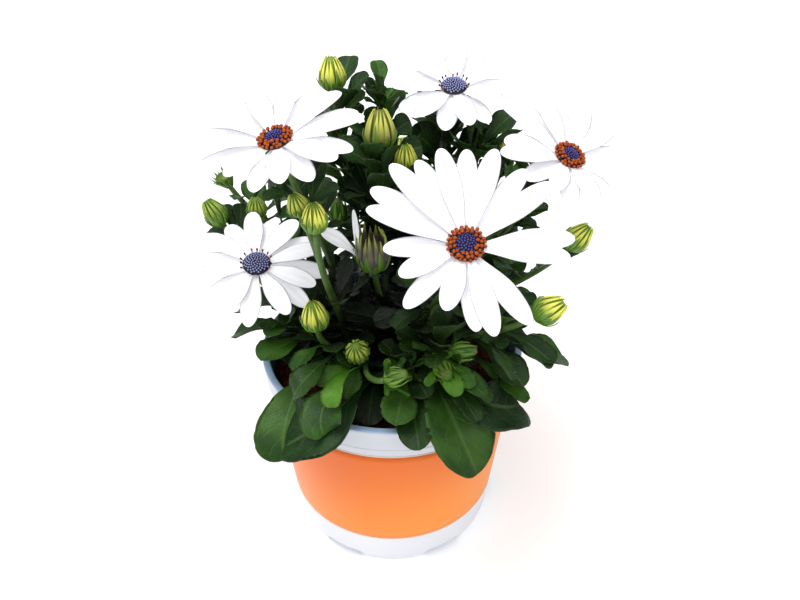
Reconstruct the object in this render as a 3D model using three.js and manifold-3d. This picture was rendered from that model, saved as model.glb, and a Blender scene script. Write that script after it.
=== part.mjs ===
// A potted osteospermum (African daisy): a white plastic nursery pot with a printed band, its peat,
// and a bushy plant of leafy shoots that carry white daisies and closed buds.
// Millimetres, +Z up, origin on the floor under the middle of the pot, front of the plant towards -Y.

import * as THREE from "three";
import { mergeVertices } from "three/addons/utils/BufferGeometryUtils.js";
import Module from "manifold-3d";

const wasm = await Module();
wasm.setup();

// ---------------------------------------------------------------- driving dimensions

const SEAT = 0.3; // clearance between pieces that touch
const POT = {
  height: 106,
  rimRadius: 65,
  rimWidth: 3.6,
  rimLip: 1.8,
  collarRadius: 64,
  collarBottom: 92,
  bodyTopRadius: 62.4,
  footRadius: 53,
  footHeight: 4.5,
  footWidth: 6,
  footFlare: 0.8,
  footChamfer: 0.6,
  feet: 6,
  notchWidth: 20,
  wall: 2,
  padRadius: 14,
  slope: 1,
  segments: 28,
};
const DRAIN = { radius: 4, ringRadius: 34, cutLength: 20, sides: 6 };
const BAND = { bottom: 20, top: 88.2, thickness: 0.5 };
const SOIL = { edge: 93, crown: 95.5, shoulderRadius: 40, shoulderDrop: 0.4, fit: 0.979, segments: 24 };
const STEM = { baseRadius: 2.1, tipRadius: 1.3, sides: 5, steps: 5, buried: 12, start: 97 };
const LEAF = { thickness: 1.1, cup: 0.22, slimness: 0.25, reach: 1.2 };
const PETAL = { thickness: 0.8, cup: 0.12, rootRadius: 3.4, layers: [0.5, 1.5] };
const DISC = { radius: 6.4, footRadius: 2.6, anthers: 11 };
const CUP = { length: 8, radius: 6, sides: 10 };
const BUD = { segments: 10, ribDepth: 0.1 };
const SEEDS = { bloom: 101, bloomStep: 17, shoot: 1009, shootStep: 31 };
const CLEARANCE = 2.2; // kept between the sampled surfaces of pieces that grow past each other
// The way to the light in front and above: no leaf stands close before a flower or bud.
const LIGHT = { source: [0, -297, 342], first: 8, last: 50, step: 6, radius: 3.5, petal: [0.5, 1] };
const SAMPLE = { rows: 13, sides: [-0.9, -0.6, -0.3, 0, 0.3, 0.6, 0.9], margin: 2.5 };

const COLOURS = {
  pot: 0xe9edf2,
  band: 0xf58240,
  soil: 0x3a1c12,
  shoot: 0x2f5a22,
  bud: 0x9aa83a,
  rays: 0xfafafa,
  disc: 0x55549a,
};

// ---------------------------------------------------------------- the plant's layout

// A bloom sits at `at` and faces along `facing`. Its petals are `halfWidth` to each side and rise by
// `open` degrees where they leave the disc.
const BLOOMS = {
  bloom_1: { at: [27, -65, 200], facing: [-0.07, -0.57, 0.82], halfWidth: 4.3, open: 9 },
  bloom_2: { at: [-64, 4, 148], facing: [0.06, -0.38, 0.92], halfWidth: 4.8, open: 1 },
  bloom_3: { at: [-44, -23, 222], facing: [-0.2, -0.24, 0.95], halfWidth: 4.9, open: 10 },
  bloom_4: { at: [32, 72, 209], facing: [-0.03, -0.33, 0.94], halfWidth: 5.4, open: 7 },
  bloom_5: { at: [76, 2, 203], facing: [0.28, -0.38, 0.88], halfWidth: 5, open: 11 },
};

// Azimuth in degrees and length of each petal.
const RAYS = {
  bloom_1: [
    [1, 36], [32, 36], [51, 35], [70, 36], [86, 37], [101, 36], [114, 37], [129, 39], [143, 40],
    [157, 36], [178, 27], [204, 24], [224, 29], [251, 24], [273, 29], [282, 34], [304, 34], [346, 34],
  ],
  bloom_2: [
    [0, 31], [21, 31], [38, 30], [58, 29], [80, 28], [100, 29], [124, 28], [148, 28], [170, 28],
    [196, 28], [221, 28], [245, 25], [268, 29], [302, 29], [323, 29], [341, 27],
  ],
  bloom_3: [
    [16, 31], [36, 30], [60, 30], [80, 29], [96, 30], [110, 30], [126, 36], [144, 37], [162, 38],
    [180, 33], [196, 33], [230, 24], [257, 26], [280, 30], [299, 28], [317, 33], [334, 31], [355, 34],
  ],
  bloom_4: [
    [2, 28], [28, 28], [59, 27], [83, 27], [111, 27], [133, 28], [157, 27], [181, 28], [207, 28],
    [232, 27], [258, 27], [281, 29], [301, 27], [325, 28],
  ],
  bloom_5: [
    [18, 27], [45, 27], [60, 28], [75, 28], [96, 28], [116, 28], [132, 34], [153, 36], [180, 27],
    [202, 35], [222, 26], [246, 24], [266, 23], [289, 23], [317, 25], [346, 26],
  ],
};

// A bud's base sits at `at` and it points along `facing`. A spent head has shed its petals.
const BUDS = {
  bud_01: { at: [-28, 66, 211], facing: [-0.05, 0, 1], length: 18, radius: 6.6 },
  bud_02: { at: [-5, 37, 192], facing: [0, 0.1, 1], length: 21, radius: 7.4 },
  bud_03: { at: [8, 53, 172], facing: [-0.05, 0, 1], length: 17, radius: 6 },
  bud_04: { at: [-37, -23, 191], facing: [-0.25, -0.2, 1], length: 11, radius: 4.6 },
  bud_05: { at: [-31, -31, 187], facing: [0, -0.05, 1], length: 14, radius: 5.2 },
  bud_06: { at: [-27, 40, 152], facing: [0, 0, 1], length: 14, radius: 4.8 },
  bud_07: { at: [-68, 39, 156], facing: [0.05, -0.2, 1], length: 12, radius: 5 },
  bud_08: { at: [-85, 36, 153], facing: [-0.45, 0, 0.9], length: 16, radius: 5.6 },
  bud_09: { at: [-8, -3, 150], facing: [-0.05, -0.1, 1], length: 25, radius: 8 },
  bud_10: { at: [-34, -26, 133], facing: [-0.1, 0, 1], length: 16, radius: 6 },
  bud_11: { at: [-15, -37, 127], facing: [-0.1, -0.5, 0.85], length: 12, radius: 5.2 },
  bud_12: { at: [79, -9, 165], facing: [0.6, 0, 0.8], length: 15, radius: 5.6 },
  bud_13: { at: [62, -34, 145], facing: [0.8, 0.1, 0.45], length: 16, radius: 6.2 },
  bud_14: { at: [25, -43, 133], facing: [1, -0.05, 0.15], length: 13, radius: 4.4 },
  bud_15: { at: [20, -49, 131], facing: [0.3, -0.8, 0.1], length: 12, radius: 4.2 },
  bud_16: { at: [-3, -56, 129], facing: [0.75, -0.25, 0.5], length: 12, radius: 4.2 },
  bud_17: { at: [58, 58, 176], facing: [0.3, 0.3, 0.9], length: 17, radius: 6 },
  bud_18: { at: [-82, 49, 168], facing: [-0.35, -0.2, 0.9], length: 10, radius: 5.8, spent: true },
  bud_19: { at: [6, 90, 160], facing: [0, 0.5, 0.85], length: 16, radius: 5.8 },
};

// The petals that have already opened out of a bud: each from `base` to `tip`, bent by way of `control`.
const FIRST_PETALS = [
  { base: [-16.1, -4.6, 160], control: [-24, -5, 170], tip: [-31.5, -6, 172.5], halfWidth: 4.6, roll: -25 },
  { base: [-16.1, -4.6, 160], control: [-15, -7, 172], tip: [-16.5, -6, 184], halfWidth: 2.2, roll: 150 },
];

// A shoot leaves the peat at `base`, ends in its head or in a leafy tip, and may carry side buds,
// each on a stalk that leaves it at `from`, a share of its length. `leaves` are spread over `zone`,
// and `lengths` are those of the lowest and the highest of them.
const SHOOTS = {
  shoot_01: { base: [6, -13], head: "bloom_1", leaves: 5, zone: [0.15, 0.5], lengths: [37, 25] },
  shoot_02: { base: [-17, 4], head: "bloom_2", leaves: 4, zone: [0.2, 0.5], lengths: [34, 24] },
  shoot_03: { base: [-25, 22], head: "bloom_3", leaves: 5, zone: [0.25, 0.82], lengths: [32, 24] },
  shoot_04: { base: [9, 14], head: "bloom_4", leaves: 8, zone: [0.25, 0.84], lengths: [35, 27] },
  shoot_05: { base: [17, 2], head: "bloom_5", leaves: 7, zone: [0.2, 0.76], lengths: [37, 25] },
  shoot_06: { base: [-2, 9], head: "bud_02", leaves: 7, zone: [0.3, 0.76], lengths: [35, 24] },
  shoot_07: { base: [1, -2], head: "bud_09", leaves: 3, zone: [0.2, 0.45], lengths: [34, 25] },
  shoot_08: { base: [-11, 18], head: "bud_01", leaves: 9, zone: [0.3, 0.86], lengths: [35, 24] },
  shoot_09: { base: [2, 20], head: "bud_03", leaves: 6, zone: [0.3, 0.8], lengths: [35, 24] },
  shoot_10: { base: [-21, -5], head: "bud_05", leaves: 4, zone: [0.15, 0.45], lengths: [32, 24] },
  shoot_11: { base: [-23, 14], head: "bud_08", leaves: 6, zone: [0.25, 0.85], lengths: [35, 24] },
  shoot_12: { base: [-18, -12], head: "bud_10", leaves: 1, zone: [0.6, 0.6], lengths: [24, 24] },
  shoot_13: { base: [-7, -21], head: "bud_11", leaves: 0, zone: [0.4, 0.6], lengths: [25, 18] },
  shoot_14: { base: [25, 7], head: "bud_12", leaves: 7, zone: [0.25, 0.82], lengths: [37, 24] },
  shoot_15: { base: [24, -8], head: "bud_13", leaves: 3, zone: [0.4, 0.75], lengths: [34, 24] },
  shoot_16: { base: [5, -24], tip: [8, -44, 124], leaves: 3, zone: [0.6, 1], lengths: [22, 15] },
  shoot_17: { base: [16, -19], head: "bud_14", leaves: 3, zone: [0.5, 0.9], lengths: [24, 17] },
  shoot_18: { base: [-27, -3], tip: [-50, -8, 124], leaves: 4, zone: [0.4, 1], lengths: [29, 17] },
  shoot_19: { base: [20, 16], head: "bud_17", leaves: 6, zone: [0.2, 0.86], lengths: [39, 24] },
  shoot_20: { base: [-18, 25], head: "bud_18", leaves: 6, zone: [0.2, 0.86], lengths: [39, 24] },
  shoot_21: { base: [8, 29], head: "bud_19", leaves: 5, zone: [0.2, 0.86], lengths: [39, 24] },
  shoot_22: { base: [-4, 30], tip: [-3, 66, 209], leaves: 7, zone: [0.3, 1], lengths: [35, 18] },
  shoot_23: { base: [31, 15], tip: [56, 24, 130], leaves: 6, zone: [0.3, 1], lengths: [39, 20] },
  shoot_24: { base: [-31, 6], tip: [-52, 22, 126], leaves: 5, zone: [0.3, 1], lengths: [39, 20] },
  shoot_25: { base: [17, 27], tip: [46, 56, 188], leaves: 7, zone: [0.3, 1], lengths: [39, 20] },
};

const SIDE_BUDS = [
  { shoot: "shoot_10", from: 0.6, bud: "bud_04" },
  { shoot: "shoot_08", from: 0.3, bud: "bud_06" },
  { shoot: "shoot_11", from: 0.6, bud: "bud_07" },
  { shoot: "shoot_17", from: 0.72, bud: "bud_15" },
  { shoot: "shoot_13", from: 0.5, bud: "bud_16" },
];

// The broad leaves of the skirt, which spill over the rim: each grows on a shoot at `from`, a share of
// its length, arches up by `arch` or swings half-way through the point `over`, and ends at `tip`.
const SKIRT = [
  { shoot: "shoot_17", from: 0.3, tip: [36, -79, 95], halfWidth: 15.8, over: [22, -54, 116], roll: -5 },
  { shoot: "shoot_16", from: 0.4, tip: [11, -77, 108], halfWidth: 8.5, arch: 10, roll: 10 },
  { shoot: "shoot_17", from: 0.5, tip: [36, -68, 115], halfWidth: 7, arch: 9, roll: -15 },
  { shoot: "shoot_17", from: 0.62, tip: [42, -60, 119], halfWidth: 7.5, arch: 7, roll: -15 },
  { shoot: "shoot_17", from: 0.35, tip: [57, -51, 109], halfWidth: 14.5, over: [38, -52, 113], roll: 18 },
  { shoot: "shoot_15", from: 0.5, tip: [58, -50, 119], halfWidth: 7.5, arch: 7, roll: 0 },
  { shoot: "shoot_15", from: 0.68, tip: [79, -28, 119], halfWidth: 12, over: [62, -32, 126], roll: 5 },
  { shoot: "shoot_16", from: 0.8, tip: [1, -71, 117], halfWidth: 8, arch: 3, roll: -8 },
  { shoot: "shoot_13", from: 0.6, tip: [-25, -72, 128], halfWidth: 4.8, over: [-22, -60, 133], roll: 15 },
  { shoot: "shoot_13", from: 0.35, tip: [-47, -68, 102], halfWidth: 15, over: [-24, -62, 117], roll: -12 },
  { shoot: "shoot_13", from: 0.5, tip: [-29, -75, 115], halfWidth: 9, over: [-27, -61, 124], roll: 0 },
  { shoot: "shoot_18", from: 0.3, tip: [-48, -68, 93], halfWidth: 12.5, over: [-45, -48, 110], roll: 2 },
  { shoot: "shoot_12", from: 0.5, tip: [-43, -58, 122], halfWidth: 7.2, over: [-34, -48, 128], roll: 0 },
  { shoot: "shoot_18", from: 0.5, tip: [-60, -34, 122], halfWidth: 8, arch: 8, roll: 0 },
  { shoot: "shoot_18", from: 0.7, tip: [-79, -1, 111], halfWidth: 9, arch: 9, roll: 5 },
  { shoot: "shoot_24", from: 0.4, tip: [-82, 26, 106], halfWidth: 11, arch: 19, roll: 0 },
  { shoot: "shoot_11", from: 0.25, tip: [-62, 58, 102], halfWidth: 11, arch: 20, roll: -5 },
  { shoot: "shoot_20", from: 0.25, tip: [-30, 81, 103], halfWidth: 11, arch: 20, roll: 5 },
  { shoot: "shoot_21", from: 0.25, tip: [6, 88, 101], halfWidth: 11, arch: 20, roll: 0 },
  { shoot: "shoot_25", from: 0.2, tip: [39, 77, 104], halfWidth: 11, arch: 20, roll: -5 },
  { shoot: "shoot_19", from: 0.2, tip: [66, 53, 101], halfWidth: 11, arch: 20, roll: 5 },
  { shoot: "shoot_23", from: 0.4, tip: [83, 19, 105], halfWidth: 11, arch: 19, roll: 0 },
];

// ---------------------------------------------------------------- small helpers

const UP = new THREE.Vector3(0, 0, 1);
const vector = (xyz) => new THREE.Vector3(...xyz);
const radians = THREE.MathUtils.degToRad;

/** The point at `radius` and `angle` round Z. */
function polar(radius, angle, z) {
  return new THREE.Vector3(radius * Math.cos(angle), radius * Math.sin(angle), z);
}

/** Park and Miller's generator: the same draws on every run. */
function makeDraw(seed) {
  let state = seed;
  return () => {
    state = (state * 16807) % 2147483647;
    return state / 2147483647;
  };
}

/** The value at `s` of a line through [s, value] points. */
function along(points, s) {
  const next = Math.max(1, points.findIndex((point) => point[0] >= s));
  const [[s0, v0], [s1, v1]] = [points[next - 1], points[next]];
  return v0 + ((v1 - v0) * (s - s0)) / (s1 - s0);
}

function meshGeometry(vertices, faces) {
  const positions = vertices.flatMap((vertex) => vertex.toArray());
  const geometry = new THREE.BufferGeometry();
  geometry.setAttribute("position", new THREE.Float32BufferAttribute(positions, 3));
  return geometry.setIndex(faces);
}

/** A closed body through rings that run counterclockwise seen from its far end. */
function loft(rings) {
  const count = Math.max(...rings.map((ring) => ring.length));
  const vertices = [];
  const faces = [];
  const starts = rings.map((ring) => {
    const start = vertices.length;
    vertices.push(...ring);
    return start;
  });
  const index = (k, j) => starts[k] + (rings[k].length === 1 ? 0 : j % count);
  for (let k = 0; k + 1 < rings.length; k += 1) {
    for (let j = 0; j < count; j += 1) {
      const [a, b, c, d] = [index(k, j), index(k, j + 1), index(k + 1, j + 1), index(k + 1, j)];
      if (a !== b) faces.push(a, b, c);
      if (c !== d) faces.push(a, c, d);
    }
  }
  const last = rings.length - 1;
  for (let j = 1; j + 1 < count; j += 1) {
    if (rings[0].length > 1) faces.push(index(0, 0), index(0, j + 1), index(0, j));
    if (rings[last].length > 1) faces.push(index(last, 0), index(last, j), index(last, j + 1));
  }
  return meshGeometry(vertices, faces);
}

function toSolid(geometry) {
  const bare = geometry.clone();
  bare.deleteAttribute("normal");
  bare.deleteAttribute("uv");
  const merged = mergeVertices(bare, 1e-4);
  return new wasm.Manifold(
    new wasm.Mesh({
      numProp: 3,
      vertProperties: new Float32Array(merged.attributes.position.array),
      triVerts: new Uint32Array(merged.index.array),
    }),
  );
}

function toGeometry(solid) {
  const { vertProperties, triVerts } = solid.getMesh();
  const geometry = new THREE.BufferGeometry();
  geometry.setAttribute("position", new THREE.Float32BufferAttribute(vertProperties, 3));
  geometry.setIndex(new THREE.Uint32BufferAttribute(triVerts, 1));
  geometry.computeVertexNormals();
  return geometry;
}

const fuse = (geometries) => geometries.map(toSolid).reduce((whole, piece) => whole.add(piece));
const cut = (body, tools) => tools.map(toSolid).reduce((rest, tool) => rest.subtract(tool), body);

function makeMesh(name, geometry, colour, roughness) {
  const material = new THREE.MeshStandardMaterial({ color: colour, roughness, metalness: 0 });
  const mesh = new THREE.Mesh(geometry, material);
  mesh.name = name;
  return mesh;
}

/** A lathe round Z: `profile` holds [radius, z] points. */
function turned(profile, segments) {
  const points = profile.map(([radius, z]) => new THREE.Vector2(radius, z));
  return new THREE.LatheGeometry(points, segments).rotateX(Math.PI / 2);
}

/** Puts a local frame, whose Z is `facing`, at `at`. */
function poseOf({ at, facing }) {
  const turn = new THREE.Quaternion().setFromUnitVectors(UP, vector(facing).normalize());
  return new THREE.Matrix4().compose(vector(at), turn, new THREE.Vector3(1, 1, 1));
}

// ---------------------------------------------------------------- blades: leaves and petals

const LEAF_OUTLINE = [[0, 0.14], [0.36, 0.3], [0.66, 0.95], [0.88, 0.88], [1, 0]];
const PETAL_OUTLINE = [[0, 0.28], [0.44, 0.9], [0.78, 0.88], [1, 0]];

/** A blade that follows base, control and tip; it lies level across its line, then is rolled about it. */
function makeBlade(base, control, tip, halfWidth, roll) {
  const across = new THREE.Vector3(tip.y - base.y, base.x - tip.x, 0).normalize();
  return { line: new THREE.QuadraticBezierCurve3(base, control, tip), across, halfWidth, roll };
}

/** A blade of `length` that leaves `base` towards `azimuth` at `rise` and ends at `droop`. */
function arched(base, azimuth, rise, droop, length, halfWidth, roll = 0) {
  const step = (angleUp) =>
    new THREE.Vector3(
      Math.cos(azimuth) * Math.cos(angleUp),
      Math.sin(azimuth) * Math.cos(angleUp),
      Math.sin(angleUp),
    ).multiplyScalar(length / 2);
  const control = base.clone().add(step(rise));
  const blade = makeBlade(base, control, control.clone().add(step(droop)), halfWidth, roll);
  blade.across.set(Math.sin(azimuth), -Math.cos(azimuth), 0);
  return blade;
}

function bladeFrame({ line, across, roll }, s) {
  const tangent = line.getTangent(s);
  const level = across ?? new THREE.Vector3(tangent.y, -tangent.x, 0).normalize();
  const rolled = level.clone().applyAxisAngle(tangent, radians(roll));
  const normal = new THREE.Vector3().crossVectors(rolled, tangent).normalize();
  return { centre: line.getPoint(s), across: rolled, normal };
}

/** A point of the blade: `side` runs from -1 to 1 across it, `lift` is along its normal. */
function bladePoint({ centre, across, normal }, halfWidth, side, lift) {
  return centre.clone().addScaledVector(across, side * halfWidth).addScaledVector(normal, lift);
}

/** The lens sections of a thin blade, whose margins are lifted by `cup`. */
function bladeRings(blade, outline, { thickness, cup }) {
  return outline.map(([s, share]) => {
    const frame = bladeFrame(blade, s);
    const halfWidth = share * blade.halfWidth;
    if (halfWidth === 0) return [frame.centre];
    return [
      bladePoint(frame, halfWidth, -1, cup * halfWidth),
      bladePoint(frame, halfWidth, 0, thickness / 2),
      bladePoint(frame, halfWidth, 1, cup * halfWidth),
      bladePoint(frame, halfWidth, 0, -thickness / 2),
    ];
  });
}

const bladeGeometry = (...shape) => loft(bladeRings(...shape));

// ---------------------------------------------------------------- shoots and what they carry

const HEADS = { ...BLOOMS, ...BUDS };

/** A stem's line: it sets out along `leaving` and reaches its end along `arrival`. */
function stemLine(start, leaving, end, arrival) {
  const reach = start.distanceTo(end) / 3;
  const first = start.clone().addScaledVector(leaving, reach);
  const second = end.clone().addScaledVector(arrival, -reach);
  return new THREE.CubicBezierCurve3(start, first, second, end);
}

/** Where a stalk ends under its head, and the way it faces there. */
function stalkEnd(name) {
  const facing = vector(HEADS[name].facing).normalize();
  const drop = BLOOMS[name] ? CUP.length - STEM.tipRadius : SEAT;
  return { end: vector(HEADS[name].at).addScaledVector(facing, -drop), facing };
}

/** Upright out of the peat, and into the head along the way the head faces. */
function mainLine({ base, head, tip }) {
  const start = vector([...base, STEM.start]);
  if (!head) return stemLine(start, UP, vector(tip), vector(tip).sub(start).normalize());
  const { end, facing } = stalkEnd(head);
  return stemLine(start, UP, end, facing);
}

function sideLine({ shoot, from, bud }) {
  const main = mainLine(SHOOTS[shoot]);
  const { end, facing } = stalkEnd(bud);
  return stemLine(stemPoint(main, from), main.getTangent(from), end, facing);
}

/** The point at `s` of the straight pieces that a stem is made of. */
function stemPoint(line, s) {
  const step = Math.min(Math.floor(s * STEM.steps), STEM.steps - 1);
  const [from, to] = [step, step + 1].map((k) => line.getPoint(k / STEM.steps));
  return from.lerp(to, s * STEM.steps - step);
}

/** A tapering stalk along `line`; a stem that stands in the peat starts with its buried length. */
function stalkGeometry(line, startRadius, endRadius, steps, buried = 0) {
  const side = new THREE.Vector3(1, 0, 0);
  const ringAt = (centre, tangent, radius) => {
    const across = new THREE.Vector3().crossVectors(tangent, side).normalize();
    const away = new THREE.Vector3().crossVectors(across, tangent);
    return Array.from({ length: STEM.sides }, (_, j) => {
      const { x, y } = polar(radius, (2 * Math.PI * j) / STEM.sides, 0);
      return centre.clone().addScaledVector(away, x).addScaledVector(across, y);
    });
  };
  const rings = Array.from({ length: steps + 1 }, (_, k) => {
    const radius = THREE.MathUtils.lerp(startRadius, endRadius, k / steps);
    return ringAt(line.getPoint(k / steps), line.getTangent(k / steps), radius);
  });
  if (buried > 0) rings.unshift(ringAt(line.getPoint(0).addScaledVector(UP, -buried), UP, startRadius));
  return loft(rings);
}

/** The green cup under a bloom, in the bloom's own frame. */
function cupGeometry() {
  const profile = [
    [0, -CUP.length - SEAT],
    [STEM.tipRadius + 0.3, -CUP.length - SEAT],
    [CUP.radius * 0.8, -CUP.length * 0.6],
    [CUP.radius, -CUP.length * 0.3],
    [CUP.radius, -SEAT],
    [0, -SEAT],
  ];
  return turned(profile, CUP.sides);
}

/** A bloom's petals, in two alternating layers, in the bloom's own frame. */
function petalBlades(name, seed) {
  const { halfWidth, open } = BLOOMS[name];
  const draw = makeDraw(seed);
  return RAYS[name].map(([degrees, length], k) => {
    const azimuth = radians(degrees);
    const layer = k % 2;
    const rise = radians(open + 7 * layer + 3 * draw());
    const droop = radians(open - 14 + 7 * layer - 6 * draw());
    const base = polar(PETAL.rootRadius, azimuth, PETAL.layers[layer]);
    return arched(base, azimuth, rise, droop, length, halfWidth);
  });
}

/** A closed body of one layer of petals, which meet side by side round a hub. */
function layerGeometry(blades, height) {
  const vertices = [polar(0, 0, height + PETAL.thickness / 2), polar(0, 0, height - PETAL.thickness / 2)];
  const faces = [];
  const add = (point) => vertices.push(point) - 1;
  const azimuths = blades.map(({ line }) => Math.atan2(line.v0.y, line.v0.x));
  const seams = azimuths.map((azimuth, k) => {
    const gap = THREE.MathUtils.euclideanModulo(azimuths.at(k - 1) - azimuth, 2 * Math.PI) - 2 * Math.PI;
    return add(polar(PETAL.rootRadius, azimuth + gap / 2, height));
  });
  blades.forEach((blade, k) => {
    const rings = bladeRings(blade, PETAL_OUTLINE, PETAL);
    const [, above, , below] = rings[0].map(add);
    let ring = [seams[(k + 1) % blades.length], above, seams[k], below];
    faces.push(0, ring[2], ring[1], 0, ring[1], ring[0], 1, ring[0], ring[3], 1, ring[3], ring[2]);
    for (const points of rings.slice(1)) {
      const next = points.map(add);
      for (let j = 0; j < 4; j += 1) {
        const [a, b] = [ring[j], ring[(j + 1) % 4]];
        const [c, d] = [next[(j + 1) % next.length], next[j % next.length]];
        faces.push(a, b, c);
        if (c !== d) faces.push(a, c, d);
      }
      ring = next;
    }
  });
  return meshGeometry(vertices, faces);
}

// ---------------------------------------------------------------- keeping leaves clear of the rest

const taken = [];

/** Notes a point of a piece's surface: `reach` is how far the piece stands round it. */
function take(point, reach, owner, root = false) {
  taken.push({ point, reach, owner, root });
}

function takeLine(line, reach, owner) {
  const count = Math.ceil(line.getLength() / 4);
  for (let k = 0; k <= count; k += 1) take(line.getPoint(k / count), reach, owner, true);
}

/** Keeps the way from a point of a flower or bud to the light free. */
function keepLit(point, owner) {
  const towards = vector(LIGHT.source).sub(point).normalize();
  for (let distance = LIGHT.first; distance <= LIGHT.last; distance += LIGHT.step) {
    take(point.clone().addScaledVector(towards, distance), LIGHT.radius, owner);
  }
}

/** Points over a blade, with those of its narrow stalk marked as its root. */
function bladeSamples(blade, outline) {
  const samples = [];
  for (let row = 1; row <= SAMPLE.rows; row += 1) {
    const s = row / SAMPLE.rows;
    const frame = bladeFrame(blade, s);
    const halfWidth = along(outline, s) * blade.halfWidth;
    for (const side of SAMPLE.sides) {
      samples.push({ point: bladePoint(frame, halfWidth, side, 0), root: s < 0.35 });
    }
  }
  return samples;
}

/** True where a point lies in the pot's wall or the peat, or too near to them. */
function inPot({ x, y, z }) {
  const radius = Math.hypot(x, y);
  const inside = radius < POT.rimRadius - POT.rimWidth - SAMPLE.margin;
  const outside = radius > POT.rimRadius + SAMPLE.margin;
  const overPeat = inside && z > SOIL.crown + SAMPLE.margin;
  return !(overPeat || outside || z > POT.height + SAMPLE.margin);
}

/** A blade may pass its own shoot's stem and leaf stalks, but nothing else. */
function isClear(samples, owner) {
  return samples.every(({ point, root }) => {
    if (inPot(point) && !root) return false;
    return taken.every((other) => {
      if (other.owner === owner && (root || other.root)) return true;
      const near = CLEARANCE + other.reach;
      return point.distanceToSquared(other.point) > near * near;
    });
  });
}

function takeBlade(samples, owner) {
  samples.forEach(({ point, root }) => take(point, LEAF.reach, owner, root));
}

// A leaf that finds no room is shortened, raised or turned, the turns first, and left out at last.
const TURNS = [0, 22, -22, 44, -44, 70, -70];
const RAISES = [0, 15, -15, 30];
const SHRINKS = [1, 0.8, 0.65];
const TRIES = SHRINKS.flatMap((shrink) =>
  RAISES.flatMap((raise) => TURNS.map((turn) => ({ shrink, raise, turn }))),
);

/** Leaves in a spiral up the shoot, the lower ones longer and lower. */
function growLeaves(name, line, draw) {
  const { leaves, zone, lengths } = SHOOTS[name];
  const blades = [];
  const firstTurn = 360 * draw();
  for (let k = 0; k < leaves; k += 1) {
    const share = leaves > 1 ? k / (leaves - 1) : 0;
    const base = stemPoint(line, THREE.MathUtils.lerp(...zone, share));
    const length = THREE.MathUtils.lerp(...lengths, share) * (0.9 + 0.2 * draw());
    const azimuth = firstTurn + 137.5 * k;
    const rise = 30 + 25 * share + 12 * draw();
    const droop = -18 + 45 * share + 20 * draw();
    const roll = 30 * (draw() - 0.5);
    for (const { shrink, raise, turn } of TRIES) {
      const [way, up, down] = [azimuth + turn, rise + raise, droop + raise].map(radians);
      const size = length * shrink;
      const blade = arched(base, way, up, down, size, LEAF.slimness * size, roll);
      const samples = bladeSamples(blade, LEAF_OUTLINE);
      if (isClear(samples, name)) {
        takeBlade(samples, name);
        blades.push(blade);
        break;
      }
    }
  }
  return blades;
}

/** A leaf of the skirt, which lies level across its line even where that swings sideways. */
function skirtBlade({ tip, halfWidth, arch, over, roll, from }, line) {
  const base = stemPoint(line, from);
  const end = vector(tip);
  const chord = base.clone().lerp(end, 0.5);
  const middle = over ? vector(over) : chord.clone().addScaledVector(UP, arch / 2);
  const control = middle.multiplyScalar(2).sub(chord);
  return { line: new THREE.QuadraticBezierCurve3(base, control, end), halfWidth, roll };
}

// ---------------------------------------------------------------- pot, band and peat

const potInnerRadius = (z) => potOuterRadius(z) - POT.wall;

/** The outer radius of the tapering body below the collar. */
function potOuterRadius(z) {
  const share = (z - POT.footHeight) / (POT.collarBottom - POT.footHeight);
  return THREE.MathUtils.lerp(POT.footRadius + POT.footFlare, POT.bodyTopRadius, share);
}

function potSolid() {
  const recess = BAND.thickness + SEAT;
  const floorTop = POT.footHeight + POT.wall;
  const lipInner = POT.rimRadius - POT.rimWidth;
  const profile = [
    [0, 0],
    [POT.padRadius, 0],
    [POT.padRadius + POT.slope, POT.footHeight],
    [POT.footRadius - POT.footWidth, POT.footHeight],
    [POT.footRadius - POT.footWidth + POT.slope, 0],
    [POT.footRadius - POT.footChamfer, 0],
    [potOuterRadius(POT.footHeight), POT.footHeight],
    [potOuterRadius(BAND.bottom), BAND.bottom],
    [potOuterRadius(BAND.bottom) - recess, BAND.bottom],
    [potOuterRadius(BAND.top) - recess, BAND.top],
    [potOuterRadius(BAND.top), BAND.top],
    [POT.bodyTopRadius, POT.collarBottom],
    [POT.collarRadius, POT.collarBottom + 0.8],
    [POT.rimRadius, POT.height - POT.rimLip],
    [POT.rimRadius, POT.height],
    [lipInner, POT.height],
    [potInnerRadius(POT.collarBottom), POT.collarBottom],
    [potInnerRadius(floorTop), floorTop],
    [0, floorTop],
  ];
  const notches = [];
  const drains = [];
  for (let k = 0; k < POT.feet; k += 1) {
    const angle = radians((360 / POT.feet) * (k + 0.5) - 90);
    const notch = new THREE.BoxGeometry(4 * POT.footWidth, POT.notchWidth, 2 * POT.footHeight);
    notches.push(notch.translate(POT.footRadius, 0, 0).rotateZ(angle));
    const drain = new THREE.CylinderGeometry(DRAIN.radius, DRAIN.radius, DRAIN.cutLength, DRAIN.sides);
    drains.push(drain.rotateX(Math.PI / 2).translate(DRAIN.ringRadius, 0, POT.footHeight).rotateZ(angle));
  }
  return cut(toSolid(turned(profile, POT.segments)), [...notches, ...drains]);
}

function bandGeometry() {
  const [low, high] = [BAND.bottom + SEAT, BAND.top - SEAT];
  const profile = [
    [potOuterRadius(low) - BAND.thickness, low],
    [potOuterRadius(low), low],
    [potOuterRadius(high), high],
    [potOuterRadius(high) - BAND.thickness, high],
    [potOuterRadius(low) - BAND.thickness, low],
  ];
  return turned(profile, POT.segments);
}

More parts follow.
